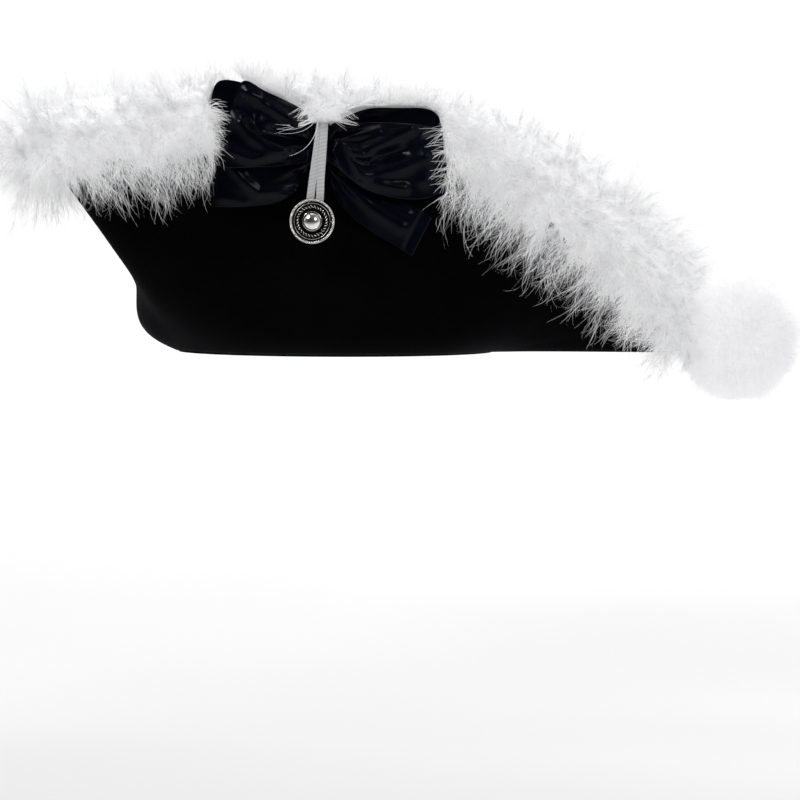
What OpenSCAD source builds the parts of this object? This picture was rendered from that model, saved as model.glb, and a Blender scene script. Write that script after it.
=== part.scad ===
// Three-cornered costume hat: velvet over a stiffened brim, feather boa on the
// edge, satin bow, ribbon loop with a metal button, and a fur pompom on the
// front point. Millimetres. +X front point, +Z up, origin at the centre of the
// head opening.

/* [Head opening] */
// Inner half length of the head opening, front to back
head_a = 98.5; // [94:0.5:103]
// Inner half width of the head opening
head_b = 80; // [76:0.5:84]
// Height of the crown above the head opening
crown_h = 112; // [104:1:116]

/* [Layers] */
// Thickness of the velvet shell of the crown
velvet_t = 1.6; // [1.2:0.1:2]
// Thickness of the satin lining
lining_t = 0.8; // [0.6:0.1:1]
// Thickness of the sweatband
sweat_t = 1.1; // [0.8:0.1:1.2]
// Height of the sweatband
sweat_h = 32; // [25:1:40]
// Thickness of each velvet face of the brim
face_t = 1; // [0.8:0.1:1.2]
// Thickness of the foam stiffener in the brim
foam_t = 2; // [1.6:0.1:2.4]

/* [Trim] */
// Radius of the feather boa
boa_r = 34; // [30:1:36]
// Radius of the cord the feathers are bound to
boa_cord_r = 1.4; // [1:0.1:1.5]
// Radius of the millinery wire in the edge
wire_r = 0.8; // [0.6:0.1:0.8]

/* [Bow and button] */
// Height of the bow's knot above the head opening
knot_z = 130; // [126:1:134]
// Thickness of the satin ribbon, doubled
satin_t = 0.9; // [0.7:0.1:1]
// Diameter of the button
button_d = 27; // [26:0.5:30]
// Distance from the loop's stitched end down to the button's centre
drop = 64; // [62:1:65]
// Width of the hanging ribbon
loop_w = 5; // [4.5:0.1:5.2]

/* [Pompom] */
// Radius of the firm part of the fur ball
fur_r = 26; // [24:0.5:26]
// Radius of the stuffed core
core_r = 10; // [8:0.5:11]

/* [Hidden] */

black = [0.03, 0.03, 0.04];
navy = [0.05, 0.06, 0.10];
white = [0.95, 0.95, 0.95];
silver = [0.72, 0.72, 0.72];
grey = [0.70, 0.70, 0.72];

n_ring = 60;
brim_rows = 9;
brim_z0 = 4.6;
brim_t = 2 * face_t + foam_t;
wall_t = velvet_t + lining_t + sweat_t;
crown_a = head_a + wall_t;
crown_b = head_b + wall_t;

// ---- brim shape -------------------------------------------------------
// One row per control ray of one side, from the front point to the middle of
// the back: [angle on the head ellipse, edge x, edge y, edge z, roll].
half_rays = [
  [0,   225,   0,   6,  0],
  [8,   222,  12,  26,  1],
  [15,  211,  21,  46,  2],
  [24,  191,  31,  66,  4],
  [34,  158,  44,  92,  7],
  [46,  109,  58, 126, 10],
  [60,   68,  76, 140, 13],
  [78,   20,  95, 145, 14],
  [96,  -34, 113, 144, 13],
  [112, -82, 128, 138,  9],
  [125, -120, 138, 133, 5],
  [136, -142, 141, 131, 2],
  [146, -141, 124, 132, 4],
  [158, -129,  80, 136, 13],
  [170, -122,  38, 139, 19],
  [180, -120,   0, 140, 22]];
n_half = len(half_rays) - 1;
n_rays = 2 * n_half;
// the near side has negative y; the far side mirrors it
function ray(i) =
  let (k = (i % n_rays + n_rays) % n_rays)
  k <= n_half
    ? [-half_rays[k][0], half_rays[k][1], -half_rays[k][2], half_rays[k][3], half_rays[k][4]]
    : let (m = half_rays[n_rays - k]) [m[0] - 360, m[1], m[2], m[3], m[4]];
// the ray before the first one has its angle past zero, and so on round
function ray_at(i) = let (r = ray(i))
  [r[0] - 360 * floor(i / n_rays), r[1], r[2], r[3], r[4]];
function blend4(p0, p1, p2, p3, t) =
  0.5 * (2 * p1 + (p2 - p0) * t + (2 * p0 - 5 * p1 + 4 * p2 - p3) * t * t
         + (3 * p1 - p0 - 3 * p2 + p3) * t * t * t);
function smooth_ray(s) = let (i = floor(s), t = s - i)
  blend4(ray_at(i - 1), ray_at(i), ray_at(i + 1), ray_at(i + 2), t);
// a roll that leaves the crown outwards and then turns up
roll_at = 0.14;
function roll_f(t) = t <= 0 ? 0 : (t / roll_at) * exp(1 - t / roll_at);
function out_dir(a) = let (v = [cos(a) / crown_a, sin(a) / crown_b, 0]) v / norm(v);
// point of the crown-side face of the brim, s along the edge, t from base to edge
function face_pt(s, t) = let (
    r = smooth_ray(s), a = r[0],
    b = [crown_a * cos(a), crown_b * sin(a), brim_z0],
    e = [r[1], r[2], r[3]])
  b + (e - b) * t + out_dir(a) * (r[4] * roll_f(t) + 0.25 * (1 - t));
// normal pointing away from the crown
function face_n(s, t) = let (
    d = 0.12, q = min(t, 0.985),
    ds = face_pt(s + d, q) - face_pt(s - d, q),
    dt = face_pt(s, q + 0.015) - face_pt(s, max(0, q - 0.015)),
    v = cross(dt, ds))
  v / norm(v);
function brim_pt(s, t, off) = face_pt(s, t) + face_n(s, t) * off;
function step_s(i) = i * n_rays / n_ring;
// rows are closer together near the roll; the last one is the edge itself, and
// the one before it is where the stiffener stops and the wire lies
wire_room = 4;
function ray_len(s) = norm(brim_pt(s, 1, 0) - brim_pt(s, 0, 0));
function row_t(s, j) = j == brim_rows ? 1
  : (1 - wire_room / ray_len(s)) * pow(j / (brim_rows - 1), 1.35);

function flip(faces) = [for (f = faces) [f[0], f[2], f[1]]];
// closed ring-shaped shell between two grids of the same size
module ring_shell(inner, outer, n, rows) {
  m = n * (rows + 1);
  function id(i, j, k) = k * m + (i % n) * (rows + 1) + j;
  polyhedron(
    points = concat([for (i = [0:n - 1]) for (j = [0:rows]) inner[i][j]],
                    [for (i = [0:n - 1]) for (j = [0:rows]) outer[i][j]]),
    faces = flip(concat(
      [for (i = [0:n - 1]) for (j = [0:rows - 1]) each [
        [id(i, j, 0), id(i + 1, j, 0), id(i + 1, j + 1, 0)],
        [id(i, j, 0), id(i + 1, j + 1, 0), id(i, j + 1, 0)],
        [id(i, j, 1), id(i + 1, j + 1, 1), id(i + 1, j, 1)],
        [id(i, j, 1), id(i, j + 1, 1), id(i + 1, j + 1, 1)]]],
      [for (i = [0:n - 1]) each [
        [id(i, 0, 0), id(i, 0, 1), id(i + 1, 0, 1)],
        [id(i, 0, 0), id(i + 1, 0, 1), id(i + 1, 0, 0)],
        [id(i, rows, 0), id(i + 1, rows, 1), id(i, rows, 1)],
        [id(i, rows, 0), id(i + 1, rows, 0), id(i + 1, rows, 1)]]])));
}
function brim_grid(off, rows = brim_rows) =
  [for (i = [0:n_ring - 1]) let (q = step_s(i)) [for (j = [0:rows]) brim_pt(q, row_t(q, j), off)]];

module brim_inner_face() { color(black) ring_shell(brim_grid(0), brim_grid(face_t), n_ring, brim_rows); }
module brim_outer_face() { color(black) ring_shell(brim_grid(face_t + foam_t), brim_grid(brim_t), n_ring, brim_rows); }
module brim_stiffener() {
  rows = brim_rows - 1;
  color([0.15, 0.15, 0.16]) ring_shell(brim_grid(face_t, rows), brim_grid(face_t + foam_t, rows), n_ring, rows);
}

// closed tube through a ring of points
module ring_tube(pts, r, sides) {
  n = len(pts);
  function rim(i) = let (
      d = pts[(i + 1) % n] - pts[(i + n - 1) % n], t = d / norm(d),
      h0 = cross(t, [0, 0, 1]), h = h0 / norm(h0), v = cross(h, t))
    [for (k = [0:sides - 1]) pts[i] + r * (cos(360 * k / sides) * h + sin(360 * k / sides) * v)];
  polyhedron(
    points = [for (i = [0:n - 1]) each rim(i)],
    faces = [for (i = [0:n - 1]) for (k = [0:sides - 1])
      let (a = i * sides + k, b = i * sides + (k + 1) % sides,
           c = ((i + 1) % n) * sides + k, d = ((i + 1) % n) * sides + (k + 1) % sides)
      each [[a, b, d], [a, d, c]]]);
}
module brim_wire() {
  g = brim_grid(brim_t / 2);
  color(silver) ring_tube([for (c = g) let (d = c[brim_rows - 1] - c[brim_rows])
    c[brim_rows] + d * 2.2 / norm(d)], wire_r, 6);
}
module boa_cord() {
  g = brim_grid(brim_t / 2);
  color(white) ring_tube([for (c = g) let (d = c[brim_rows] - c[brim_rows - 1])
    c[brim_rows] + d * 2.3 / norm(d)], boa_cord_r, 6);
}

// ---- crown ------------------------------------------------------------
n_crown = 60;
// [height share, inset from the base ellipse] up the side and over the top
side_rows = [[0, 0], [0.25, 1.6], [0.5, 3.6], [0.72, 6], [0.86, 9]];
tip_rows = [[0.86, 9], [0.93, 13], [0.975, 21], [1, 38], [1.01, 62]];
function oval(row, off) = [for (i = [0:n_crown - 1]) let (a = 360 * i / n_crown)
  [(crown_a - row[1] - off) * cos(a), (crown_b - row[1] * 0.86 - off) * sin(a),
   row[0] * (crown_h - off * (row[0] > 0.8 ? 1 : 0))]];
function by_column(rows, off) = let (rings = [for (r = rows) oval(r, off)])
  [for (i = [0:n_crown - 1]) [for (j = [0:len(rows) - 1]) rings[j][i]]];
// closed cap: a shell that ends in a centre point on both faces
module cap_shell(rows, off0, off1) {
  n = n_crown; q = len(rows);
  a = by_column(rows, off1); b = by_column(rows, off0);
  m = n * q;
  function id(i, j, k) = k * m + (i % n) * q + j;
  top0 = [0, 0, rows[q - 1][0] * (crown_h - off1) + 0.4];
  top1 = [0, 0, rows[q - 1][0] * (crown_h - off0) + 0.4];
  polyhedron(
    points = concat([for (i = [0:n - 1]) for (j = [0:q - 1]) a[i][j]],
                    [for (i = [0:n - 1]) for (j = [0:q - 1]) b[i][j]], [top0, top1]),
    faces = flip(concat(
      [for (i = [0:n - 1]) for (j = [0:q - 2]) each [
        [id(i, j, 0), id(i + 1, j + 1, 0), id(i + 1, j, 0)],
        [id(i, j, 0), id(i, j + 1, 0), id(i + 1, j + 1, 0)],
        [id(i, j, 1), id(i + 1, j, 1), id(i + 1, j + 1, 1)],
        [id(i, j, 1), id(i + 1, j + 1, 1), id(i, j + 1, 1)]]],
      [for (i = [0:n - 1]) each [
        [id(i, q - 1, 0), 2 * m, id(i + 1, q - 1, 0)],
        [id(i, q - 1, 1), id(i + 1, q - 1, 1), 2 * m + 1],
        [id(i, 0, 0), id(i + 1, 0, 1), id(i, 0, 1)],
        [id(i, 0, 0), id(i + 1, 0, 0), id(i + 1, 0, 1)]]])));
}
module crown_side() {
  color(black) ring_shell(by_column(side_rows, 0), by_column(side_rows, velvet_t), n_crown, 4);
}
module crown_tip() { color(black) cap_shell(tip_rows, 0, velvet_t); }
module lining_side() {
  color(navy) ring_shell(by_column(side_rows, velvet_t), by_column(side_rows, velvet_t + lining_t), n_crown, 4);
}
module lining_tip() { color(navy) cap_shell(tip_rows, velvet_t, velvet_t + lining_t); }
module sweatband() {
  h = sweat_h / crown_h;
  rows = [[0, 0], [0.25, 1.6], [h, 1.6 + (h - 0.25) * 8]];
  o = velvet_t + lining_t;
  color(black) ring_shell(by_column(rows, o), by_column(rows, o + sweat_t), n_crown, 2);
}

// thread tacks that hold the middle of each brim panel up to the crown
function crown_pt(a, z) = let (q = z / crown_h,
    inset = q < 0.5 ? 1.6 + (q - 0.25) * 8 : 3.6 + (q - 0.5) * 10.9)
  [(crown_a - inset) * cos(a), (crown_b - inset * 0.86) * sin(a), z];
module tack(s, t) {
  p = face_pt(s, t);
  c = crown_pt(smooth_ray(s)[0], p[2]);
  d = p - c; l = norm(d); u = d / l;
  translate(c + u * 0.4)
    rotate([0, acos(u[2]), atan2(u[1], u[0])]) cylinder(r = 0.6, h = l - 0.9, $fn = 24);
}
module brim_tacks() {
  color(black) for (s = [7, 15, 23]) tack(s, 0.55);
}

// ---- feather boa ------------------------------------------------------
// Per control ray of one side: [share of the radius, direction of the section, share
// of the outer half that is left]. The boa is pressed flat behind the bow, and
// its last section lies in the mitre plane of the corner.
side_rows_boa = [[0.2, 310, 1], [0.2, 308, 1], [0.42, 305, 1], [0.72, 301, 1], [0.94, 297, 1], [1, 294, 0.1],
                 [1, 291, 0], [1, 289, 0], [1, 287, 0], [1, 278, 0.1], [1, 256, 1], [0.94, 235.5, 1]];
back_rows_boa = [[0.94, 235.5, 1], [0.97, 217, 1], [1, 193, 1], [1, 184, 1], [1, 180, 1],
                 [1, 176, 1], [1, 167, 1], [0.97, 143, 1], [0.94, 124.5, 1]];
n_arc = 12;
slot_gap = 0.9;
// one closed section, s along the edge, row = [radius, direction, outer share]
function boa_section(s, row, side_y) = let (
    r = row[0] * boa_r, edge = brim_pt(s, 1, brim_t / 2),
    e0 = edge - brim_pt(s, 0.8, brim_t / 2), e = e0 / norm(e0), c = edge + 3 * e,
    h0 = [cos(row[1]), sin(row[1]), 0], h1 = h0 - (h0 * e) * e, h = h1 / norm(h1),
    long = norm(brim_pt(s, 1, 0) - brim_pt(s, 0, 0)),
    low = max(0.3, 1 - max(1.5, r - 4) / long),
    wall = brim_t / 2 + slot_gap,
    flat = wall + 1.2,
    open = min(60, asin(min(0.85, (wall + 1.4) / r))),
    pts = concat(
      [brim_pt(s, low, brim_t + slot_gap)],
      [for (k = [0:n_arc]) let (
          f = -90 + open + (360 - 2 * open) * k / n_arc,
          lat = r * cos(f), cut = row[2] < 1 && lat > flat ? flat + (lat - flat) * row[2] : lat)
        c + cut * h + r * sin(f) * e],
      [brim_pt(s, low, -slot_gap), brim_pt(s, 1, -slot_gap) + 4.3 * e, brim_pt(s, 1, brim_t + slot_gap) + 4.3 * e]))
  // the two sides meet on the middle plane over the front point
  side_y ? [for (p = pts) [p[0], min(p[1], -0.1), p[2]]] : pts;
function boa_row(rows, u) = let (i = min(floor(u), len(rows) - 2), t = u - i)
  [rows[i][0] + (rows[i + 1][0] - rows[i][0]) * t, rows[i][1] + (rows[i + 1][1] - rows[i][1]) * t,
   t == 0 ? rows[i][2] : t == 1 ? rows[i + 1][2] : min(rows[i][2], rows[i + 1][2])];
// solid through a list of sections with the same number of points
module loft(sec) {
  n = len(sec); m = len(sec[0]);
  polyhedron(
    points = [for (c = sec) each c],
    faces = concat(
      [for (i = [0:n - 2]) for (k = [0:m - 1])
        let (a = i * m + k, b = i * m + (k + 1) % m) each [[a, b + m, b], [a, a + m, b + m]]],
      end_cap(0, m, false), end_cap((n - 1) * m, m, true)));
}
// each end is closed by a band between the arc and the slot's own outline
function end_cap(o, m, first) = let (
    arc = m - 3,
    f = concat(
      // outer half fans from the slot's outer top, inner half from its inner top
      [for (k = [0:floor(arc / 2) - 1]) [m - 1, k, k + 1]],
      [[m - 1, floor(arc / 2), m - 2]],
      [for (k = [floor(arc / 2):arc - 1]) [m - 2, k, k + 1]]))
  [for (t = f) first ? [o + t[0], o + t[2], o + t[1]] : [o + t[0], o + t[1], o + t[2]]];
module side_boa(pressed) {
  loft([for (i = [2:2 * 11]) let (u = i / 2, r = boa_row(side_rows_boa, u))
    boa_section(u, pressed ? r : [r[0], r[1], 1], true)]);
}
module near_feather_boa() { color(white) side_boa(true); }
module far_feather_boa() { color(white) mirror([0, 1, 0]) side_boa(false); }
module back_feather_boa() {
  color(white) loft([for (i = [0:16]) let (u = i / 2)
    boa_section(11 + u + (i == 0 ? 0.02 : i == 16 ? -0.02 : 0), boa_row(back_rows_boa, u), false)]);
}

// ---- bow --------------------------------------------------------------
// the bow's own frame: x along the brim panel, -y away from the hat, z up
bow_s = 7.05;
bow_yaw = 19.5;
bow_at = let (p = brim_pt(bow_s, 0.9, brim_t)) [p[0], p[1], knot_z];
module on_bow() { translate(bow_at) rotate([0, 0, bow_yaw]) children(); }
// a strip of ribbon through stations [along, away from hat, height, half width]
module strip(st, th) {
  n = len(st);
  function side(i) = let (
      a = st[max(i - 1, 0)], b = st[min(i + 1, n - 1)],
      d = [b[0] - a[0], b[1] - a[1]], q = norm(d)) [-d[1], d[0]] / q * th / 2;
  function four(i) = let (o = side(i), s = st[i])
    [[s[0] - o[0], -(s[1] - o[1]), s[2] - s[3]], [s[0] + o[0], -(s[1] + o[1]), s[2] - s[3]],
     [s[0] + o[0], -(s[1] + o[1]), s[2] + s[3]], [s[0] - o[0], -(s[1] - o[1]), s[2] + s[3]]];
  polyhedron(
    points = [for (i = [0:n - 1]) each four(i)],
    faces = flip(concat([[0, 1, 2], [0, 2, 3]],
      [let (e = 4 * (n - 1)) [e, e + 2, e + 1], let (e = 4 * (n - 1)) [e, e + 3, e + 2]],
      [for (i = [0:n - 2]) for (k = [0:3])
        let (a = 4 * i + k, b = 4 * i + (k + 1) % 4) each [[a, b + 4, b], [a, a + 4, b + 4]]])));
}
module bow_left_loop() {
  color(navy) on_bow() strip([[-5.4, 10.5, 0, 12], [-14, 12, 3, 17], [-30, 12.5, 7, 22], [-46, 11.5, 9, 25],
    [-60, 11, 10, 27], [-63, 9.2, 10.4, 27], [-60, 7.4, 10, 27], [-46, 6, 9, 25], [-30, 4.2, 7, 22],
    [-14, 4, 3, 17], [-5.4, 4, 0, 12]], satin_t);
}
module bow_right_loop() {
  color(navy) on_bow() strip([[5.4, 10.5, 0, 12], [15, 12, -1, 17], [34, 12.5, -2, 22], [54, 11.5, -3, 24],
    [72, 9.4, -5, 27], [75, 7.5, -5, 27], [72, 5.4, -5, 27], [54, 4.6, -3, 24], [34, 4.2, -2, 22],
    [15, 4, -1, 17], [5.4, 4, 0, 12]], satin_t);
}
module bow_left_tail() {
  color(navy) on_bow() strip([[-5.4, 2.6, -14, 8], [-20, 2.4, -20, 11], [-40, 2.6, -25, 13], [-63, 3, -27, 13]], satin_t);
}
module bow_right_tail() {
  color(navy) on_bow() strip([[5.4, 2.6, -16, 8], [20, 2.6, -26, 11], [38, 4.6, -42, 12], [60, 7.4, -58, 12]], satin_t);
}
module bow_knot() {
  color(navy) on_bow() hull() {
    for (z = [-11, 11]) for (y = [5.1, 10]) translate([-5, -y, z]) rotate([0, 90, 0]) cylinder(r = 2, h = 10, $fn = 24);
  }
}

// the threads that sew the knot to the brim
module bow_stitch() {
  color(black) on_bow() for (z = [-7, 0, 7]) translate([0, 1.5, z]) rotate([90, 0, 0])
    cylinder(r = 0.5, h = 4.8, $fn = 24);
}

// ---- hanging ribbon and button ------------------------------------------
ribbon_y = 14.6;
loop_top = 17;
button_x = -6;
button_z = loop_top - drop;
lean = atan2(-button_x, drop);
// the ribbon's own frame hangs from its stitch and leans a little to the left
module on_ribbon() { on_bow() translate([0, -ribbon_y, loop_top]) rotate([0, lean, 0]) children(); }
module ribbon_loop() {
  l = norm([button_x, drop]);
  color(grey) on_ribbon() difference() {
    union() {
      for (k = [-1, 1]) translate([0, 0.35, 0]) rotate([90, 0, 0])
        linear_extrude(height = 0.7) polygon([
          [k * 2.4, -l - 1.4], [k * 5.4, -l - 1.4], [k * 5.6, -l + 8], [k * 5.2, -l + 14], [k * loop_w, 4],
          [k * -1, 4], [k * 0.4, -l + 14], [k * 2.4, -l + 8]]);
      translate([-5.4, -0.35, -l - 1.4]) cube([10.8, 0.7, 2.8]);
    }
    rotate([90, 0, 0]) cylinder(r = 0.85, h = 10, center = true, $fn = 32);
  }
}
// the thread that holds the top of the ribbon to the edge of the brim
module ribbon_stitch() {
  color(black) on_bow() translate([0, -0.9, loop_top]) rotate([90, 0, 0]) {
    cylinder(r = 0.5, h = ribbon_y + 0.8, $fn = 24);
    translate([0, 0, ribbon_y + 0.3]) cylinder(r = 1.5, h = 0.7, $fn = 32);
  }
}
button_back = ribbon_y + 1.9;
// the button lies in its own frame with its face along +z
module on_button() {
  on_bow() translate([button_x, -button_back, button_z]) rotate([90, 0, 0]) children();
}
module button_plate() {
  r = button_d / 2 - 1.1;
  color(silver) on_button() rotate_extrude($fn = 72) polygon([
    [0, 0], [r, 0], [r, 1.7], [r - 1.3, 2.3], [r - 1.9, 1.8], [r - 2.5, 2.2], [r - 3.1, 1.7],
    [7.6, 1.7], [7.2, 1.2], [4.8, 1.2], [0, 1.2]]);
}
module button_rope_rim() {
  n = 40;
  r = button_d / 2 - 1.1;
  color(silver) on_button() difference() {
    rotate_extrude($fn = 72) translate([r + 0.02, 0]) polygon([[0, 0.2], [0.6, 0.2], [1, 0.9], [0.8, 1.5], [0, 1.7]]);
    for (i = [0:n - 1]) rotate([0, 0, 360 * i / n]) translate([r + 1.1, 0, -1])
      cylinder(r = 0.35, h = 5, $fn = 16);
  }
}
module button_dome() {
  color([0.85, 0.85, 0.86]) on_button() rotate_extrude($fn = 72) polygon([
    [0, 1.25], [5.5, 1.25], [5.5, 2.2], [4.9, 3.7], [3.8, 4.7], [2.1, 5.2], [0, 5.4]]);
}
module button_shank() {
  color(silver) on_button() translate([0, 0, -2]) rotate([0, 90, 0]) difference() {
    rotate_extrude($fn = 48) translate([2.9, 0]) circle(r = 0.65, $fn = 24);
    translate([-5 - 2, -5, -3]) cube([5, 10, 6]);
  }
}

// ---- pompom -------------------------------------------------------------
// a bar of thread across the point of the brim, a thread ring round the bar,
// and the pompom's own thread loop through that ring
bar_x = 231.6;
bar_z = 3.2;
ring_r = 2.6;
thread_r = 0.6;
bar_r = 0.5;
slack = 0.3;
link_x = bar_x + ring_r - thread_r - bar_r - slack;
yaw_x = link_x + ring_r;
loop_x = yaw_x + ring_r - 2 * thread_r - slack;
ball_x = 261;
ball_z = 10;
module thread_ring() { rotate_extrude($fn = 48) translate([ring_r, 0]) circle(r = thread_r, $fn = 24); }
module tip_stitch() {
  // both legs of the thread run in to the point of the brim
  leg = [9.2, 3.4];
  color(black) {
    translate([bar_x, -4.4, bar_z]) rotate([-90, 0, 0]) cylinder(r = bar_r, h = 8.8, $fn = 24);
    for (k = [-1, 1]) translate([bar_x, k * 3.9, bar_z]) rotate([0, -90, k * atan2(leg[1], leg[0])])
      cylinder(r = bar_r * 0.85, h = norm(leg), $fn = 24);
  }
}
module pompom_link() { color(white) translate([link_x, 0, bar_z]) rotate([90, 0, 0]) thread_ring(); }
module pompom_thread() {
  p = [loop_x + ring_r, 0, bar_z];
  d = [ball_x, 0, ball_z] - p;
  color(white) {
    translate([loop_x, 0, bar_z]) thread_ring();
    translate(p) rotate([0, acos(d[2] / norm(d)), 0]) cylinder(r = thread_r, h = norm(d) - core_r + 0.5, $fn = 24);
  }
}
module pompom_core() {
  p = [loop_x + ring_r, 0, bar_z];
  d = [ball_x, 0, ball_z] - p;
  color(white) difference() {
    translate([ball_x, 0, ball_z]) sphere(r = core_r, $fn = 64);
    translate(p) rotate([0, acos(d[2] / norm(d)), 0]) cylinder(r = thread_r, h = norm(d) - core_r + 0.5, $fn = 24);
  }
}
module pompom_fur() {
  d = [ball_x - bar_x, 0, ball_z - bar_z];
  color(white) difference() {
    translate([ball_x, 0, ball_z]) sphere(r = fur_r, $fn = 96);
    translate([ball_x, 0, ball_z]) sphere(r = core_r + 0.05, $fn = 64);
    translate([bar_x - 4, 0, bar_z - 1]) rotate([0, acos(d[2] / norm(d)), 0]) cylinder(r = 7.2, h = 28, $fn = 48);
  }
}

crown_side();
crown_tip();
lining_side();
lining_tip();
sweatband();
brim_inner_face();
brim_stiffener();
brim_outer_face();
brim_wire();
brim_tacks();
boa_cord();
near_feather_boa();
far_feather_boa();
back_feather_boa();
bow_left_loop();
bow_right_loop();
bow_left_tail();
bow_right_tail();
bow_knot();
bow_stitch();
ribbon_stitch();
ribbon_loop();
button_plate();
button_rope_rim();
button_dome();
button_shank();
tip_stitch();
pompom_link();
pompom_thread();
pompom_core();
pompom_fur();
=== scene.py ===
import math
import bpy
import numpy as np
from mathutils import Matrix, Vector


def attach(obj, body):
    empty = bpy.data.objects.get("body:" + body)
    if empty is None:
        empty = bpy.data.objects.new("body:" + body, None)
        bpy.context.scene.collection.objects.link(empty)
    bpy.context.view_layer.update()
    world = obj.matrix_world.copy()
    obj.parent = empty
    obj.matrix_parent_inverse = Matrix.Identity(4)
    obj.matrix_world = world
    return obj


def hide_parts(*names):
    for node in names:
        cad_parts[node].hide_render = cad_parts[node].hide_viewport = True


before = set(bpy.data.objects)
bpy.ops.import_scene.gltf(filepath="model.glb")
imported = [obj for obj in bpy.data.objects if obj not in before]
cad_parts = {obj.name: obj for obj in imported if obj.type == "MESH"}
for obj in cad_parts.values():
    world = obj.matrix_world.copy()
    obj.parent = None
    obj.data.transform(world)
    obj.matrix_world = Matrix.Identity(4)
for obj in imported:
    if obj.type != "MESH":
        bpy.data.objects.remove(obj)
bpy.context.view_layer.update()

MM = 0.001
scene = bpy.context.scene
rng = np.random.default_rng(7)

# ---------------------------------------------------------------- camera, light, floor
AZ, EL, DIST = math.radians(14.5), math.radians(3.5), 1.8
right = Vector((math.cos(AZ), math.sin(AZ), 0))
back = Vector((math.sin(AZ) * math.cos(EL), -math.cos(AZ) * math.cos(EL), math.sin(EL)))
up = back.cross(right)
cam_data = bpy.data.cameras.new("camera")
cam_data.lens = 36 * DIST / 0.5152
cam_data.sensor_width = 36
cam = bpy.data.objects.new("camera", cam_data)
loc = right * 0.042 + up * -0.0316 + back * DIST
cam.matrix_world = Matrix(((right.x, up.x, back.x, loc.x), (right.y, up.y, back.y, loc.y),
                           (right.z, up.z, back.z, loc.z), (0, 0, 0, 1)))
scene.collection.objects.link(cam)
scene.camera = cam
scene.view_settings.view_transform = "Standard"


def area_light(name, at, size, power, color=(1, 1, 1), aim=(0.04, 0, 0.09)):
    d = bpy.data.lights.new(name, "AREA")
    d.shape, d.size, d.energy, d.color = "DISK", size, power, color
    o = bpy.data.objects.new(name, d)
    o.location = at
    o.rotation_euler = (Vector(aim) - Vector(at)).to_track_quat("-Z", "Y").to_euler()
    scene.collection.objects.link(o)


area_light("key", (-0.75, -1.35, 1.35), 0.85, 21)
area_light("fill", (1.35, -1.0, 0.7), 0.7, 5)
area_light("rim", (0.5, 1.3, 1.2), 0.9, 9)
area_light("top", (0.0, 0.1, 1.6), 0.8, 6)

world = bpy.data.worlds.new("studio")
world.use_nodes = True
wt = world.node_tree
wg = wt.nodes.new("ShaderNodeTexCoord")
ws = wt.nodes.new("ShaderNodeSeparateXYZ")
wm = wt.nodes.new("ShaderNodeMapRange")
wm.inputs["From Min"].default_value, wm.inputs["From Max"].default_value = -1, 1
wm.inputs["To Min"].default_value, wm.inputs["To Max"].default_value = 0.12, 1.7
wt.links.new(wg.outputs["Generated"], ws.inputs["Vector"])
wt.links.new(ws.outputs["Y"], wm.inputs["Value"])
wt.links.new(wm.outputs["Result"], wt.nodes["Background"].inputs["Color"])
world.node_tree.nodes["Background"].inputs["Strength"].default_value = 0.33
scene.world = world


# ---------------------------------------------------------------- materials
def new_mat(name):
    m = bpy.data.materials.new(name)
    m.use_nodes = True
    nt = m.node_tree
    return m, nt, nt.nodes["Principled BSDF"]


def setv(b, **kw):
    names = {"rough": "Roughness", "metal": "Metallic", "sheen": "Sheen Weight", "sheen_rough": "Sheen Roughness",
             "spec": "Specular IOR Level", "aniso": "Anisotropic", "coat": "Coat Weight", "coat_rough": "Coat Roughness",
             "emit": "Emission Strength"}
    for k, v in kw.items():
        if k == "sheen_tint":
            b.inputs["Sheen Tint"].default_value = (*v, 1)
        elif k == "base":
            b.inputs["Base Color"].default_value = (*v, 1)
        elif k == "emit_color":
            b.inputs["Emission Color"].default_value = (*v, 1)
        else:
            b.inputs[names[k]].default_value = v


def coords(nt, scale=(1, 1, 1), kind="Object"):
    tc = nt.nodes.new("ShaderNodeTexCoord")
    mp = nt.nodes.new("ShaderNodeMapping")
    mp.inputs["Scale"].default_value = scale
    nt.links.new(tc.outputs[kind], mp.inputs["Vector"])
    return mp.outputs["Vector"]


def noise(nt, vec, scale, detail=3, rough=0.5):
    n = nt.nodes.new("ShaderNodeTexNoise")
    n.inputs["Scale"].default_value = scale
    n.inputs["Detail"].default_value = detail
    n.inputs["Roughness"].default_value = rough
    nt.links.new(vec, n.inputs["Vector"])
    return n.outputs["Fac"]


def ramp(nt, fac, stops):
    r = nt.nodes.new("ShaderNodeValToRGB")
    el = r.color_ramp.elements
    while len(el) < len(stops):
        el.new(0.5)
    for e, (p, c) in zip(el, stops):
        e.position = p
        e.color = (*c, 1) if len(c) == 3 else c
    nt.links.new(fac, r.inputs["Fac"])
    return r.outputs["Color"]


def to_range(nt, fac, lo, hi, a=0.3, b=0.7):
    m = nt.nodes.new("ShaderNodeMapRange")
    m.inputs["From Min"].default_value, m.inputs["From Max"].default_value = a, b
    m.inputs["To Min"].default_value, m.inputs["To Max"].default_value = lo, hi
    nt.links.new(fac, m.inputs["Value"])
    return m.outputs["Result"]


def bump(nt, b, height, strength, distance):
    n = nt.nodes.new("ShaderNodeBump")
    n.inputs["Strength"].default_value = strength
    n.inputs["Distance"].default_value = distance
    nt.links.new(height, n.inputs["Height"])
    nt.links.new(n.outputs["Normal"], b.inputs["Normal"])


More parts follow.
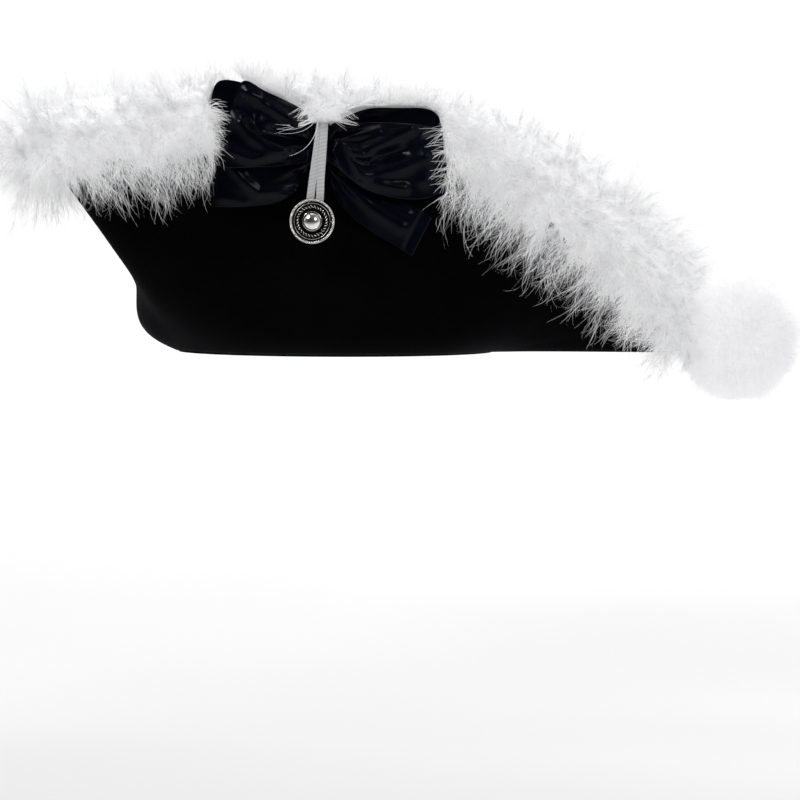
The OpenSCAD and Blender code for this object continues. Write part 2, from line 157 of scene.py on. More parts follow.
def mix_height(nt, a, b, wa, wb):
    m = nt.nodes.new("ShaderNodeMath"); m.operation = "MULTIPLY"; m.inputs[1].default_value = wa
    k = nt.nodes.new("ShaderNodeMath"); k.operation = "MULTIPLY"; k.inputs[1].default_value = wb
    s = nt.nodes.new("ShaderNodeMath"); s.operation = "ADD"
    nt.links.new(a, m.inputs[0]); nt.links.new(b, k.inputs[0])
    nt.links.new(m.outputs[0], s.inputs[0]); nt.links.new(k.outputs[0], s.inputs[1])
    return s.outputs[0]


def velvet(name, lo, hi, sheen=0.1):
    m, nt, b = new_mat(name)
    v = coords(nt)
    big = noise(nt, v, 22, 4, 0.6)
    fine = noise(nt, v, 1500, 2)
    nt.links.new(ramp(nt, big, [(0.3, lo), (0.7, hi)]), b.inputs["Base Color"])
    nt.links.new(to_range(nt, fine, 0.78, 0.95), b.inputs["Roughness"])
    bump(nt, b, mix_height(nt, fine, big, 0.6, 0.5), 0.35, 0.0005)
    setv(b, sheen=sheen, sheen_rough=0.4, spec=0.025, sheen_tint=(0.75, 0.8, 1.0))
    return m


def satin(name, lo, hi, rough=(0.3, 0.42), sheen=0.05, spec=0.5):
    m, nt, b = new_mat(name)
    v = coords(nt)
    cloud = noise(nt, v, 60, 2)
    weave = noise(nt, coords(nt, (1, 1, 0.22)), 3000, 1)
    nt.links.new(ramp(nt, cloud, [(0.3, lo), (0.7, hi)]), b.inputs["Base Color"])
    nt.links.new(to_range(nt, cloud, *rough), b.inputs["Roughness"])
    bump(nt, b, mix_height(nt, weave, cloud, 0.6, 0.4), 0.1, 0.0003)
    setv(b, sheen=sheen, sheen_rough=0.3, spec=spec, sheen_tint=(0.6, 0.75, 1.0))
    return m


def tape(name, lo, hi, scale=900, rough=(0.6, 0.85), bump_s=0.4):
    m, nt, b = new_mat(name)
    v = coords(nt)
    w = nt.nodes.new("ShaderNodeTexWave")
    w.inputs["Scale"].default_value = scale
    w.inputs["Distortion"].default_value = 0.6
    w.bands_direction = "Z"
    nt.links.new(v, w.inputs["Vector"])
    n = noise(nt, v, 300, 3)
    nt.links.new(ramp(nt, n, [(0.3, lo), (0.7, hi)]), b.inputs["Base Color"])
    nt.links.new(to_range(nt, n, *rough), b.inputs["Roughness"])
    bump(nt, b, mix_height(nt, w.outputs["Fac"], n, 0.7, 0.3), bump_s, 0.0003)
    setv(b, spec=0.3, sheen=0.1, sheen_rough=0.4)
    return m


def silver(name, lo, hi, rough):
    m, nt, b = new_mat(name)
    v = coords(nt)
    n = noise(nt, v, 420, 5, 0.65)
    f = noise(nt, v, 2600, 2)
    nt.links.new(ramp(nt, n, [(0.28, lo), (0.62, hi)]), b.inputs["Base Color"])
    nt.links.new(to_range(nt, n, rough[1], rough[0]), b.inputs["Roughness"])
    bump(nt, b, mix_height(nt, f, n, 0.3, 0.7), 0.12, 0.0002)
    setv(b, metal=1.0)
    return m


def down(name, root, mid, tip, emit):
    """Feather barbs: colour runs from a darker root to a pale tip along u, painted shade for the depth of the mass,
    with barbule flecks and a tone for each barb from v; emit is a painted glow in place of light bounced among the
    barbs.
    """
    m, nt, b = new_mat(name)
    uv = nt.nodes.new("ShaderNodeUVMap")
    uv.uv_map = "OFBake"
    sep = nt.nodes.new("ShaderNodeSeparateXYZ")
    nt.links.new(uv.outputs["UV"], sep.inputs["Vector"])
    # painted shade: the roots are darker than the tips, standing in for the shade deep inside the mass
    along = ramp(nt, sep.outputs["X"], [(0.0, root), (0.35, mid), (1.0, tip)])
    mp = nt.nodes.new("ShaderNodeMapping")
    mp.inputs["Scale"].default_value = (6, 18, 1)
    nt.links.new(uv.outputs["UV"], mp.inputs["Vector"])
    fleck = noise(nt, mp.outputs["Vector"], 5, 2)
    tone = ramp(nt, fleck, [(0.3, (0.93, 0.93, 0.94)), (0.62, (1, 1, 1))])
    mx = nt.nodes.new("ShaderNodeMix")
    mx.data_type, mx.blend_type = "RGBA", "MULTIPLY"
    mx.inputs["Factor"].default_value = 1
    nt.links.new(along, mx.inputs[6]); nt.links.new(tone, mx.inputs[7])
    nt.links.new(mx.outputs[2], b.inputs["Base Color"])
    nt.links.new(to_range(nt, fleck, 0.6, 0.85), b.inputs["Roughness"])
    # painted light: the barbs glow faintly (emit), standing in for light bounced among them
    setv(b, spec=0.08, emit=emit, emit_color=(1, 1, 1))
    return m


M = {
    "velvet": velvet("black_velvet", (0.0005, 0.0005, 0.0007), (0.0016, 0.0016, 0.0021), 0.014),
    "velvet_in": velvet("black_velvet_inside", (0.001, 0.001, 0.0013), (0.003, 0.003, 0.0037), 0.035),
    "satin": satin("blue_black_satin", (0.0006, 0.0010, 0.0032), (0.0018, 0.0028, 0.0075), (0.16, 0.22), 0.002, 0.10),
    "lining": satin("lining_satin", (0.008, 0.009, 0.014), (0.02, 0.022, 0.032), (0.32, 0.5)),
    "tape": tape("sweatband_tape", (0.01, 0.01, 0.011), (0.022, 0.022, 0.025), 700),
    "foam": tape("foam", (0.03, 0.03, 0.032), (0.06, 0.06, 0.065), 300),
    "thread": tape("black_thread", (0.012, 0.012, 0.014), (0.03, 0.03, 0.034), 1600),
    "white_thread": tape("white_thread", (0.74, 0.74, 0.75), (0.88, 0.88, 0.88), 1600),
    "silver": silver("antique_silver", (0.3, 0.29, 0.28), (0.9, 0.89, 0.87), (0.16, 0.32)),
    "silver_bright": silver("polished_silver", (0.7, 0.69, 0.67), (0.93, 0.92, 0.9), (0.08, 0.16)),
    "patina": silver("black_patina", (0.0015, 0.0015, 0.0015), (0.008, 0.008, 0.008), (0.45, 0.65)),
    "wire": silver("wire_steel", (0.4, 0.4, 0.4), (0.6, 0.6, 0.6), (0.25, 0.4)),
    # marabou and white fur: the darker root colours are painted shade and the emission is a painted glow
    "down": down("marabou", (0.66, 0.66, 0.67), (0.9, 0.9, 0.905), (0.985, 0.985, 0.985), 0.13),
    "fur": down("white_fur", (0.8, 0.79, 0.81), (0.9, 0.895, 0.905), (0.95, 0.945, 0.955), 0.16),
}


# ---------------------------------------------------------------- mesh helpers
ROOM = np.array([[-193.0, -193.5, -30.5], [309.0, 193.5, 196.0]])


def soft_limit(v, give=7.0):
    """Strands that reach the edge of the room bend over before it."""
    lo, hi = ROOM[0] + give, ROOM[1] - give
    v = np.where(v > hi, hi + give * (1 - np.exp(-(v - hi) / give)), v)
    return np.where(v < lo, lo - give * (1 - np.exp((v - lo) / give)), v)


def add(name, verts_mm, faces, mat, body, smooth=True, uv=None, mat_index=None, mats=None):
    v = np.ascontiguousarray(soft_limit(np.asarray(verts_mm, np.float64)) * MM)
    f = np.asarray(faces, np.int32)
    me = bpy.data.meshes.new(name)
    me.vertices.add(len(v))
    me.vertices.foreach_set("co", v.ravel())
    k = f.shape[1]
    me.loops.add(f.size)
    me.loops.foreach_set("vertex_index", f.ravel())
    me.polygons.add(len(f))
    me.polygons.foreach_set("loop_start", np.arange(0, f.size, k, dtype=np.int32))
    me.polygons.foreach_set("loop_total", np.full(len(f), k, np.int32))
    if smooth:
        me.polygons.foreach_set("use_smooth", np.ones(len(f), bool))
    for m in (mats or [mat]):
        me.materials.append(m)
    if mat_index is not None:
        me.polygons.foreach_set("material_index", np.asarray(mat_index, np.int32))
    if uv is not None:
        layer = me.uv_layers.new(name="OFBake")
        layer.data.foreach_set("uv", np.ascontiguousarray(uv[f.ravel()], np.float32).ravel())
    me.update()
    me.validate()
    o = bpy.data.objects.new(name, me)
    scene.collection.objects.link(o)
    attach(o, body)
    return o


def grid_faces(ni, nj, close_i=False, close_j=False, base=0):
    i = np.arange(ni if close_i else ni - 1)
    j = np.arange(nj if close_j else nj - 1)
    a, b = np.meshgrid(i, j, indexing="ij")
    a, b = a.ravel(), b.ravel()
    a2, b2 = (a + 1) % ni, (b + 1) % nj
    return base + np.stack([a * nj + b, a2 * nj + b, a2 * nj + b2, a * nj + b2], 1)


def soft_noise(p, scale, seed, octaves=3):
    """Smooth pseudo-noise from sums of sines, about -1 to 1."""
    r = np.random.default_rng(seed)
    out = np.zeros(p.shape[:-1])
    amp = 1.0
    for _ in range(octaves):
        for _ in range(4):
            d = r.normal(size=3)
            d /= np.linalg.norm(d)
            out += amp * 0.35 * np.sin((p @ d) * scale * r.uniform(0.7, 1.3) + r.uniform(0, 6.28))
        amp *= 0.5
        scale *= 2.1
    return out


# ---------------------------------------------------------------- brim shape (the same rule as the CAD source)
HEAD_A, HEAD_B, CROWN_H = 98.5, 80.0, 112.0
VELVET_T, LINING_T, SWEAT_T = 1.6, 0.8, 1.1
FACE_T, FOAM_T = 1.0, 2.0
BRIM_T = 2 * FACE_T + FOAM_T
CROWN_A, CROWN_B = HEAD_A + VELVET_T + LINING_T + SWEAT_T, HEAD_B + VELVET_T + LINING_T + SWEAT_T
BRIM_Z0, ROLL_AT = 4.6, 0.14
HALF = np.array([
    [0, 225, 0, 6, 0], [8, 222, 12, 26, 1], [15, 211, 21, 46, 2], [24, 191, 31, 66, 4], [34, 158, 44, 92, 7],
    [46, 109, 58, 126, 10], [60, 68, 76, 140, 13], [78, 20, 95, 145, 14], [96, -34, 113, 144, 13],
    [112, -82, 128, 138, 9], [125, -120, 138, 133, 5], [136, -142, 141, 131, 2], [146, -141, 124, 132, 4],
    [158, -129, 80, 136, 13], [170, -122, 38, 139, 19], [180, -120, 0, 140, 22]], float)
N_HALF = len(HALF) - 1
N_RAYS = 2 * N_HALF


def _ray(i):
    k = i % N_RAYS
    if k <= N_HALF:
        h = HALF[k]
        r = [-h[0], h[1], -h[2], h[3], h[4]]
    else:
        h = HALF[N_RAYS - k]
        r = [h[0] - 360, h[1], h[2], h[3], h[4]]
    r[0] -= 360 * (i // N_RAYS)
    return r


RAYS = np.array([_ray(i) for i in range(-4, N_RAYS + 5)])


def smooth_ray(s):
    s = np.asarray(s, float)
    i = np.floor(s).astype(int)
    t = (s - i)[..., None]
    p0, p1, p2, p3 = RAYS[i + 3], RAYS[i + 4], RAYS[i + 5], RAYS[i + 6]
    return 0.5 * (2 * p1 + (p2 - p0) * t + (2 * p0 - 5 * p1 + 4 * p2 - p3) * t ** 2 + (3 * p1 - p0 - 3 * p2 + p3) * t ** 3)


def face_pt(s, t):
    s, t = np.broadcast_arrays(np.asarray(s, float), np.asarray(t, float))
    r = smooth_ray(s)
    a = np.radians(r[..., 0])
    base = np.stack([CROWN_A * np.cos(a), CROWN_B * np.sin(a), np.full_like(a, BRIM_Z0)], -1)
    out = np.stack([np.cos(a) / CROWN_A, np.sin(a) / CROWN_B, np.zeros_like(a)], -1)
    out /= np.linalg.norm(out, axis=-1, keepdims=True)
    roll = np.where(t > 0, (t / ROLL_AT) * np.exp(1 - t / ROLL_AT), 0)
    return base + (r[..., 1:4] - base) * t[..., None] + out * (r[..., 4] * roll + 0.25 * (1 - t))[..., None]


def unit(v):
    return v / np.maximum(np.linalg.norm(v, axis=-1, keepdims=True), 1e-9)


def face_n(s, t):
    q = np.minimum(t, 0.985)
    ds = face_pt(s + 0.12, q) - face_pt(s - 0.12, q)
    dt = face_pt(s, q + 0.015) - face_pt(s, np.maximum(0, q - 0.015))
    return unit(np.cross(dt, ds))


def brim_pt(s, t, off):
    s, t = np.broadcast_arrays(np.asarray(s, float), np.asarray(t, float))
    return face_pt(s, t) + face_n(s, t) * np.asarray(off, float)[..., None]


NS = 420
S = np.arange(NS) * N_RAYS / NS
T = np.linspace(0, 1, 54) ** 1.15


def waves(P, amp, seed):
    """Small uneven waves of a hand-covered brim, fading at the seam and the edge."""
    fade = np.clip(T / 0.15, 0, 1) * np.clip((1.05 - T) / 0.2, 0, 1)
    return soft_noise(P, 0.035, seed, 3) * amp * fade[None, :]


SG, TG = np.meshgrid(S, T, indexing="ij")
mid = brim_pt(SG, TG, np.full(SG.shape, 2.0))
wv = waves(mid, 0.5, 3)

# outer face: up the outside, round the edge and a turned hem down the inside
outer = brim_pt(SG, TG, BRIM_T + 0.1 + wv)
E_mid = brim_pt(S, 1.0, np.full(NS, BRIM_T / 2))
E_up = unit(E_mid - brim_pt(S, 0.9, np.full(NS, BRIM_T / 2)))
E_n = face_n(S, np.full(NS, 1.0))
arc = [E_mid + E_up * (2.25 * math.sin(f)) + E_n * (2.35 * math.cos(f)) for f in np.radians([30, 60, 90, 120, 150])]
hem_t = np.array([0.995, 0.985, 0.97, 0.955])
hem = [brim_pt(S, t, np.full(NS, -0.45)) for t in hem_t]
outer_all = np.concatenate([outer, np.stack(arc, 1), np.stack(hem, 1)], 1)
# the skin's own thickness, towards the foam
n_rows = outer_all.shape[1]
du = np.gradient(outer_all, axis=1)
dv = np.roll(outer_all, -1, 0) - np.roll(outer_all, 1, 0)
nn = unit(np.cross(du, dv))
flip = np.sign((nn[:, 20] * face_n(S, np.full(NS, T[20]))).sum(-1).mean())
inner_all = outer_all - flip * nn * 0.8
verts = np.concatenate([outer_all, inner_all[:, ::-1]], 1)
faces = grid_faces(NS, verts.shape[1], True, True)
brim_out = add("brim_outer_velvet", verts.reshape(-1, 3), faces[:, ::-1] if flip > 0 else faces, M["velvet"], "root")
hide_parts("brim_outer_face")

inner = brim_pt(SG, TG * 0.992, -0.1 + wv)
inner_b = brim_pt(SG, TG * 0.992, 0.8 + wv)
verts = np.concatenate([inner, inner_b[:, ::-1]], 1)
brim_in = add("brim_inner_velvet", verts.reshape(-1, 3), grid_faces(NS, verts.shape[1], True, True), M["velvet_in"], "root")
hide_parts("brim_inner_face")


# ---------------------------------------------------------------- crown, lining, sweatband
def crown_profile(h):
    """Inset from the base ellipse at a share h of the crown's height."""
    hs = np.array([0, 0.25, 0.5, 0.72, 0.86, 0.93, 0.975, 1.0, 1.01])
    ins = np.array([0, 1.6, 3.6, 6, 9, 13, 21, 38, 62])
    return np.interp(h, hs, ins)


def crown_ring(path_h, path_in, off, n=240, wob=0.0, seed=1):
    a = np.linspace(0, 2 * np.pi, n, endpoint=False)
    A, H = np.meshgrid(a, path_h, indexing="ij")
    I = np.broadcast_to(path_in, A.shape)
    o = np.broadcast_to(off, A.shape)
    z = H * (CROWN_H - np.where(H > 0.8, o, 0))
    P = np.stack([(CROWN_A - I - o) * np.cos(A), (CROWN_B - I * 0.86 - o) * np.sin(A), z], -1)
    if wob:
        d = soft_noise(P, 0.05, seed, 3) * wob * np.clip(H * 6, 0, 1)
        P = P - unit(P * np.array([1, 1, 0.3])) * (np.abs(d))[..., None]
    return P


def smooth_path(hs, ins, n):
    """Catmull-Rom through the profile's points."""
    q = np.linspace(0, len(hs) - 1.0001, n)
    i = q.astype(int)
    t = q - i
    pts = np.stack([hs, ins], 1).astype(float)
    pad = np.vstack([2 * pts[0] - pts[1], pts, 2 * pts[-1] - pts[-2]])
    p0, p1, p2, p3 = pad[i], pad[i + 1], pad[i + 2], pad[np.minimum(i + 3, len(pad) - 1)]
    t = t[:, None]
    r = 0.5 * (2 * p1 + (p2 - p0) * t + (2 * p0 - 5 * p1 + 4 * p2 - p3) * t ** 2 + (3 * p1 - p0 - 3 * p2 + p3) * t ** 3)
    return r[:, 0], r[:, 1]


def shell(name, hs, ins, off0, off1, mat, replaces, wob=0.0, cap=False, n=240, rows=26, seam=None):
    ph, pi = smooth_path(np.array(hs), np.array(ins), rows)
    outer = crown_ring(ph, pi, off0, n, wob, 5)
    inner_ = crown_ring(ph, pi, off1, n)
    if seam is not None:
        outer = outer + seam(ph)[None, :, None] * unit(outer * np.array([1, 1, 0]))
    if cap:
        top = np.zeros((n, 1, 3)); top[..., 2] = outer[:, -1:, 2].mean() + 0.4
        outer = np.concatenate([outer, outer[:, -1:] * np.array([0.5, 0.5, 1]) + np.array([0, 0, 0.3]), outer[:, -1:] * np.array([0.02, 0.02, 1]) + np.array([0, 0, 0.4])], 1)
        inner_ = np.concatenate([inner_, inner_[:, -1:] * np.array([0.5, 0.5, 1]) + np.array([0, 0, 0.3]), inner_[:, -1:] * np.array([0.02, 0.02, 1]) + np.array([0, 0, 0.4])], 1)
    verts = np.concatenate([outer, inner_[:, ::-1]], 1)
    o = add(name, verts.reshape(-1, 3), grid_faces(n, verts.shape[1], True, True), mat, "root")
    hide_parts(*replaces)
    return o


SIDE_H, SIDE_I = [0, 0.25, 0.5, 0.72, 0.86], [0, 1.6, 3.6, 6, 9]
TIP_H, TIP_I = [0.86, 0.93, 0.975, 1.0, 1.01], [9, 13, 21, 38, 62]
pucker = lambda ph: -0.5 * np.exp(-((ph - 0.86) / 0.01) ** 2)
crown_side_o = shell("crown_side_velvet", SIDE_H, SIDE_I, 0.0, 1.5, M["velvet_in"], ["crown_side"], 0.5, seam=pucker)
crown_tip_o = shell("crown_tip_velvet", TIP_H, TIP_I, 0.0, 1.5, M["velvet_in"], ["crown_tip"], 0.5, cap=True, seam=pucker)
lining_side_o = shell("lining_side_satin", SIDE_H, SIDE_I, 1.65, 2.35, M["lining"], ["lining_side"])
lining_tip_o = shell("lining_tip_satin", TIP_H, TIP_I, 1.65, 2.35, M["lining"], ["lining_tip"], cap=True)
hq = 32 / CROWN_H
sweatband_o = shell("sweatband_tape", [0, 0.25, hq], [0, 1.6, 1.6 + (hq - 0.25) * 8], 2.45, 3.45, M["tape"], ["sweatband"], rows=14)


def strips(base, d0, d1, length, width, bend, tone, segs=5, curl=None, face=None):
    """Thin tapered strips. base, d0 (start direction), d1 (direction bent towards), length, width: one row per barb.
    Returns vertices, faces, uv."""
    n = len(base)
    q = np.linspace(0, 1, segs + 1)
    P = np.empty((n, segs + 1, 3))
    P[:, 0] = base
    step = (length / segs)[:, None]
    for k in range(1, segs + 1):
        w = (bend * q[k])[:, None]
        d = unit(d0 * (1 - w) + d1 * w + (curl * (q[k] - 0.35) if curl is not None else 0))
        P[:, k] = P[:, k - 1] + d * step
    tan = unit(np.gradient(P, axis=1))
    ref = rng_side(n) if face is None else unit(face + rng.normal(size=(n, 3)) * 0.3)
    side = unit(np.cross(tan, ref[:, None, :]))
    wd = width[:, None] * np.array([1.0 - 0.85 * x ** 1.2 for x in q])[None, :]
    L = P - side * wd[..., None] / 2
    R = P + side * wd[..., None] / 2
    V = np.stack([L, R], 2).reshape(-1, 3)
    f = grid_faces(segs + 1, 2)
    F = (f[None] + (np.arange(n) * 2 * (segs + 1))[:, None, None]).reshape(-1, 4)
    U = np.empty((n, segs + 1, 2, 2))
    U[..., 0] = q[None, :, None] * 0.98 + 0.01
    U[..., 1] = np.clip(tone, 0.01, 0.99)[:, None, None] + np.array([-0.004, 0.004])[None, None, :]
    return V, F, U.reshape(-1, 2)


def rng_side(n):
    return unit(rng.normal(size=(n, 3)))


def plume_field(roots, axes, lens, per, droop, facing, width=(0.24, 0.4), open_=1.0, off=None, curl=0.5):
    """Each plume is a soft curved stem with long fine barbs that lean forward and curl; returns vertices, faces, uv.
    off: a direction for each plume that its barbs keep away from, such as the cloth under it."""
    n = len(roots)
    q = 0.12 + 0.88 * rng.random((n, per)) ** 0.85
    bendv = unit(rng.normal(size=(n, 3))) * 0.5 + droop * 1.6

    def stem(qq):
        return roots[:, None] + axes[:, None] * (lens[:, None] * 0.72 * qq)[..., None] + bendv[:, None] * (lens[:, None] * 0.26 * qq ** 2)[..., None]
    B = stem(q)
    D = unit(axes[:, None] * 0.72 + bendv[:, None] * (0.52 * q)[..., None])
    ang = rng.random((n, per)) * 2 * np.pi
    s0 = unit(np.cross(D, rng_side(n)[:, None]))
    s1 = np.cross(D, s0)
    around = s0 * np.cos(ang)[..., None] + s1 * (np.sin(ang) * 0.6)[..., None]
    d0 = unit(around * rng.uniform(0.35, 1.0, (n, per))[..., None] * open_ + D * rng.uniform(0.5, 1.3, (n, per))[..., None])
    d1 = unit(D * 0.8 + around * rng.uniform(-0.6, 1.0, (n, per))[..., None] + rng.normal(size=(n, per, 3)) * 0.38 + droop[:, None] * 1.6)
    if off is not None:
        for d in (d0, d1):
            k = (d * off[:, None]).sum(-1)
            d += off[:, None] * np.clip(0.12 - k, 0, None)[..., None]
    ln = lens[:, None] * rng.uniform(0.22, 0.58, (n, per)) * (1.05 - 0.3 * q)
    tone = rng.random(n)[:, None] * 0.75 + rng.random((n, per)) * 0.2
    V, F, U = strips(B.reshape(-1, 3), unit(d0).reshape(-1, 3), unit(d1).reshape(-1, 3), ln.ravel(), rng.uniform(*width, n * per), np.full(n * per, 1.0), tone.ravel(), 5,
                     rng.normal(size=(n * per, 3)) * curl, face=np.repeat(facing, per, 0))
    qs = np.linspace(0, 1, 6)[None].repeat(n, 0)
    SP = stem(qs)
    tan = unit(np.gradient(SP, axis=1))
    side = unit(np.cross(tan, rng_side(n)[:, None]))
    w = 0.45 * (1 - 0.8 * qs)[..., None] / 2
    SV = np.stack([SP - side * w, SP + side * w], 2).reshape(-1, 3)
    sf = grid_faces(6, 2)
    SF = (sf[None] + (np.arange(n) * 12)[:, None, None]).reshape(-1, 4)
    SU = np.empty((n, 6, 2, 2)); SU[..., 0] = 0.5; SU[..., 1] = 0.6
    return np.vstack([V, SV]), np.vstack([F, SF + len(V)]), np.vstack([U, SU.reshape(-1, 2)])


def place(name, parts, mat, body, limit=95000):
    """Adds strips as pieces small enough to be kept whole."""
    V, F, U = parts
    out = []
    n = max(1, math.ceil(len(F) / limit))
    cut = np.linspace(0, len(F), n + 1).astype(int)
    for k in range(n):
        f = F[cut[k]:cut[k + 1]]
        used, inv = np.unique(f, return_inverse=True)
        out.append(add("%s_%02d" % (name, k), V[used], inv.reshape(f.shape), mat, body, uv=U[used]))
    return out


# the boa's own axis along the brim's edge, its frame and its reach
def boa_axis(s):
    e = unit(brim_pt(s, np.ones_like(s), np.full_like(s, 2.0)) - brim_pt(s, np.full_like(s, 0.8), np.full_like(s, 2.0)))
    c = brim_pt(s, np.ones_like(s), np.full_like(s, 2.0)) + e * 2
    n = face_n(s, np.ones_like(s))
    t = unit(np.cross(e, n))
    n = unit(np.cross(t, e))
    return c, e, n, t


# reach in mm for each direction round the edge: 0 up out of the edge, 90 away from the hat, 270 inside it
REACH_A = [0, 45, 90, 135, 165, 180, 200, 225, 270, 315, 360]
REACH = {0.5: [16, 24, 33, 36, 32, 22, 14, 12, 12, 12, 16],
         2.0: [18, 28, 41, 47, 44, 28, 14, 14, 16, 16, 18],
         4.5: [20, 31, 45, 51, 47, 32, 16, 16, 18, 18, 20],
         6.0: [28, 34, 41, 46, 40, 28, 16, 20, 22, 25, 28],
         7.5: [38, 39, 41, 42, 36, 27, 18, 24, 28, 34, 38],
         9.0: [41, 42, 43, 46, 42, 30, 20, 26, 32, 38, 41],
         11.0: [44, 45, 46, 50, 47, 32, 24, 30, 38, 42, 44],
         15.0: [40, 41, 41, 40, 36, 28, 26, 34, 40, 40, 40]}
RS = sorted(REACH)
RT = np.array([[*REACH[k]] for k in RS], float)


def reach(s, phi):
    s = np.asarray(s, float)
    m = np.minimum(s, 30 - s)
    a = np.degrees(phi) % 360
    j = np.clip(np.searchsorted(RS, m) - 1, 0, len(RS) - 2)
    r0, r1 = np.array(RS)[j], np.array(RS)[j + 1]
    w = np.clip((m - r0) / (r1 - r0), 0, 1)
    A = np.array(REACH_A, float)
    i = np.clip(np.searchsorted(A, a) - 1, 0, len(A) - 2)
    u = np.clip((a - A[i]) / (A[i + 1] - A[i]), 0, 1)
    lo = RT[j, i] * (1 - u) + RT[j, i + 1] * u
    hi = RT[j + 1, i] * (1 - u) + RT[j + 1, i + 1] * u
    R_ = lo * (1 - w) + hi * w
    # the far trim stands taller towards the tip
    far = (s > 15) * np.clip((5.5 - m) / 2, 0, 1) * np.clip((np.cos(phi) + 0.3) / 1.3, 0, 1)
    return R_ * (1 + 0.75 * far)


AS = np.linspace(0.35, 29.65, 1200)
_c = boa_axis(AS)[0]
AD = np.concatenate([[0], np.cumsum(np.linalg.norm(np.diff(_c, axis=0), axis=1))])

BOW_C, BOW_S = math.cos(math.radians(19.5)), math.sin(math.radians(19.5))


def in_bow_frame(p):
    """[along the panel, away from the hat, height] of points in the hat's frame."""
    d = p - np.array([19.0085, -98.7168, 130.0])
    return np.stack([d[..., 0] * BOW_C + d[..., 1] * BOW_S, d[..., 0] * BOW_S - d[..., 1] * BOW_C, d[..., 2]], -1)


BOW_OUTLINE = np.array([(-67, 26), (-62, 40), (-48, 40), (-42, 35), (-30, 31), (-18, 26), (-9, 19), (-5, 14), (5, 13), (10, 15), (15, 18.5), (21, 21.5), (46, 22.5),
                        (63, 22), (70, 18), (76, -8), (75, -30), (62, -37), (68, -45), (56, -69), (30, -55), (10, -34), (-20, -37), (-66, -40), (-63, -13)], float)


def over_bow(p):
    """True for points in front of or within the bow, seen square to it."""
    q = in_bow_frame(p)
    x, z = q[..., 0], q[..., 2]
    c = np.zeros(x.shape, bool)
    P0, P1 = BOW_OUTLINE, np.roll(BOW_OUTLINE, -1, 0)
    for (x0, z0), (x1, z1) in zip(P0, P1):
        if z0 != z1:
            c ^= ((z0 > z) != (z1 > z)) & (x < (x1 - x0) * (z - z0) / (z1 - z0) + x0)
    return c & (q[..., 1] > 1.5) & (q[..., 1] < 60)


def drop_over_bow(V, F, U, rows, keep_share=0.0):
    """Removes the barbs that would lie on or in the satin."""
    k = rows * 2
    n = len(V) // k
    bad = over_bow(V[:n * k].reshape(n, k, 3)[:, 1::2]).any(1)
    if keep_share:
        bad &= rng.random(n) > keep_share
    good = ~bad
    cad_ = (rows - 1)
    Vg = V[:n * k].reshape(n, k, 3)[good].reshape(-1, 3)
    Ug = U[:n * k].reshape(n, k, 2)[good].reshape(-1, 2)
    f = grid_faces(rows, 2)
    Fg = (f[None] + (np.arange(good.sum()) * k)[:, None, None]).reshape(-1, 4)
    return Vg, Fg, Ug


def boa_roots(count, bias=0.0):
    d = rng.uniform(0, AD[-1], count)
    s = np.interp(d, AD, AS)
    c, e, n, t = boa_axis(s)
    phi = rng.uniform(0, 2 * np.pi, count)
    # more of them hang over the outer face
    near = (rng.random(count) < bias)
    phi = np.where(near, np.radians(rng.uniform(70, 168, count)), phi)
    keep = ~((np.degrees(phi) > 170) & (np.degrees(phi) < 192))
    d, s, c, e, n, t, phi = (x[keep] for x in (d, s, c, e, n, t, phi))
    radial = e * np.cos(phi)[:, None] + n * np.sin(phi)[:, None]
    out = np.where(np.sin(phi) > 0, 1.0, -1.0)[:, None]
    root = c + n * out * 3.0 - e * (np.clip(-np.cos(phi), 0, 1) * 3)[:, None]
    flow = soft_noise(c / 1.0, 0.05, 31, 2)
    axes = unit(radial + t * (0.22 + 0.3 * flow + rng.normal(0, 0.25, len(s)))[:, None] + rng.normal(size=radial.shape) * 0.16)
    # never into the cloth
    k = (axes * n * out).sum(-1)
    low = np.cos(phi) < -0.2
    axes = unit(axes + n * out * np.where(low, np.clip(0.2 - k, 0, None), 0)[:, None])
    R = reach(s, phi) * rng.uniform(0.8, 1.1, len(s))
    return s, root, axes, R, phi, n * out * np.where(low, 1.0, 0.0)[:, None], radial


# an opaque downy core so that no light shows through the middle of the trim
NC = 900
cs = np.interp(np.linspace(0, AD[-1], NC), AD, AS)
cc, ce, cn, ct = boa_axis(cs)
ph = np.linspace(0, 2 * np.pi, 48, endpoint=False)
rad = reach(cs[:, None] + 0 * ph[None], ph[None] + 0 * cs[:, None]) * 0.52
# the side that lies on the cloth stays near the edge
rad = rad * np.where((np.degrees(ph) > 125) & (np.degrees(ph) < 235), 0.62, 1.0)[None]
rad = (rad + np.roll(rad, 1, 1) + np.roll(rad, -1, 1)) / 3
core = cc[:, None] + ce[:, None] * (np.cos(ph)[None] * rad)[..., None] + cn[:, None] * (np.sin(ph)[None] * rad)[..., None]
wob = soft_noise(core, 0.2, 11, 3)
core = cc[:, None] + (core - cc[:, None]) * (1 + 0.16 * wob)[..., None]
# flat behind the bow
bq = in_bow_frame(core)
behind = over_bow(core + 0)
tight = np.where(behind, np.clip((bq[..., 1] - 1.0), 0, None), 0)
for _ in range(10):
    nb = (tight + np.roll(tight, 1, 0) + np.roll(tight, -1, 0) + np.roll(tight, 1, 1) + np.roll(tight, -1, 1)) / 5
    tight = np.maximum(tight, nb)
core = core - tight[..., None] * np.array([BOW_S, -BOW_C, 0])
cf = grid_faces(NC, 48, False, True)
# painted shade: the core takes its colour from the darker root end of the barb ramp, as shade deep in the trim
cu = np.zeros((NC * 48, 2)); cu[:, 0] = 0.3 + 0.25 * (soft_noise(core, 0.8, 12, 2).ravel().clip(-1, 1)); cu[:, 1] = (soft_noise(core, 0.5, 13, 2).ravel().clip(-1, 1) * 0.4 + 0.5)
core_o = add("boa_down_core", core.reshape(-1, 3), cf, M["down"], "root", uv=cu)

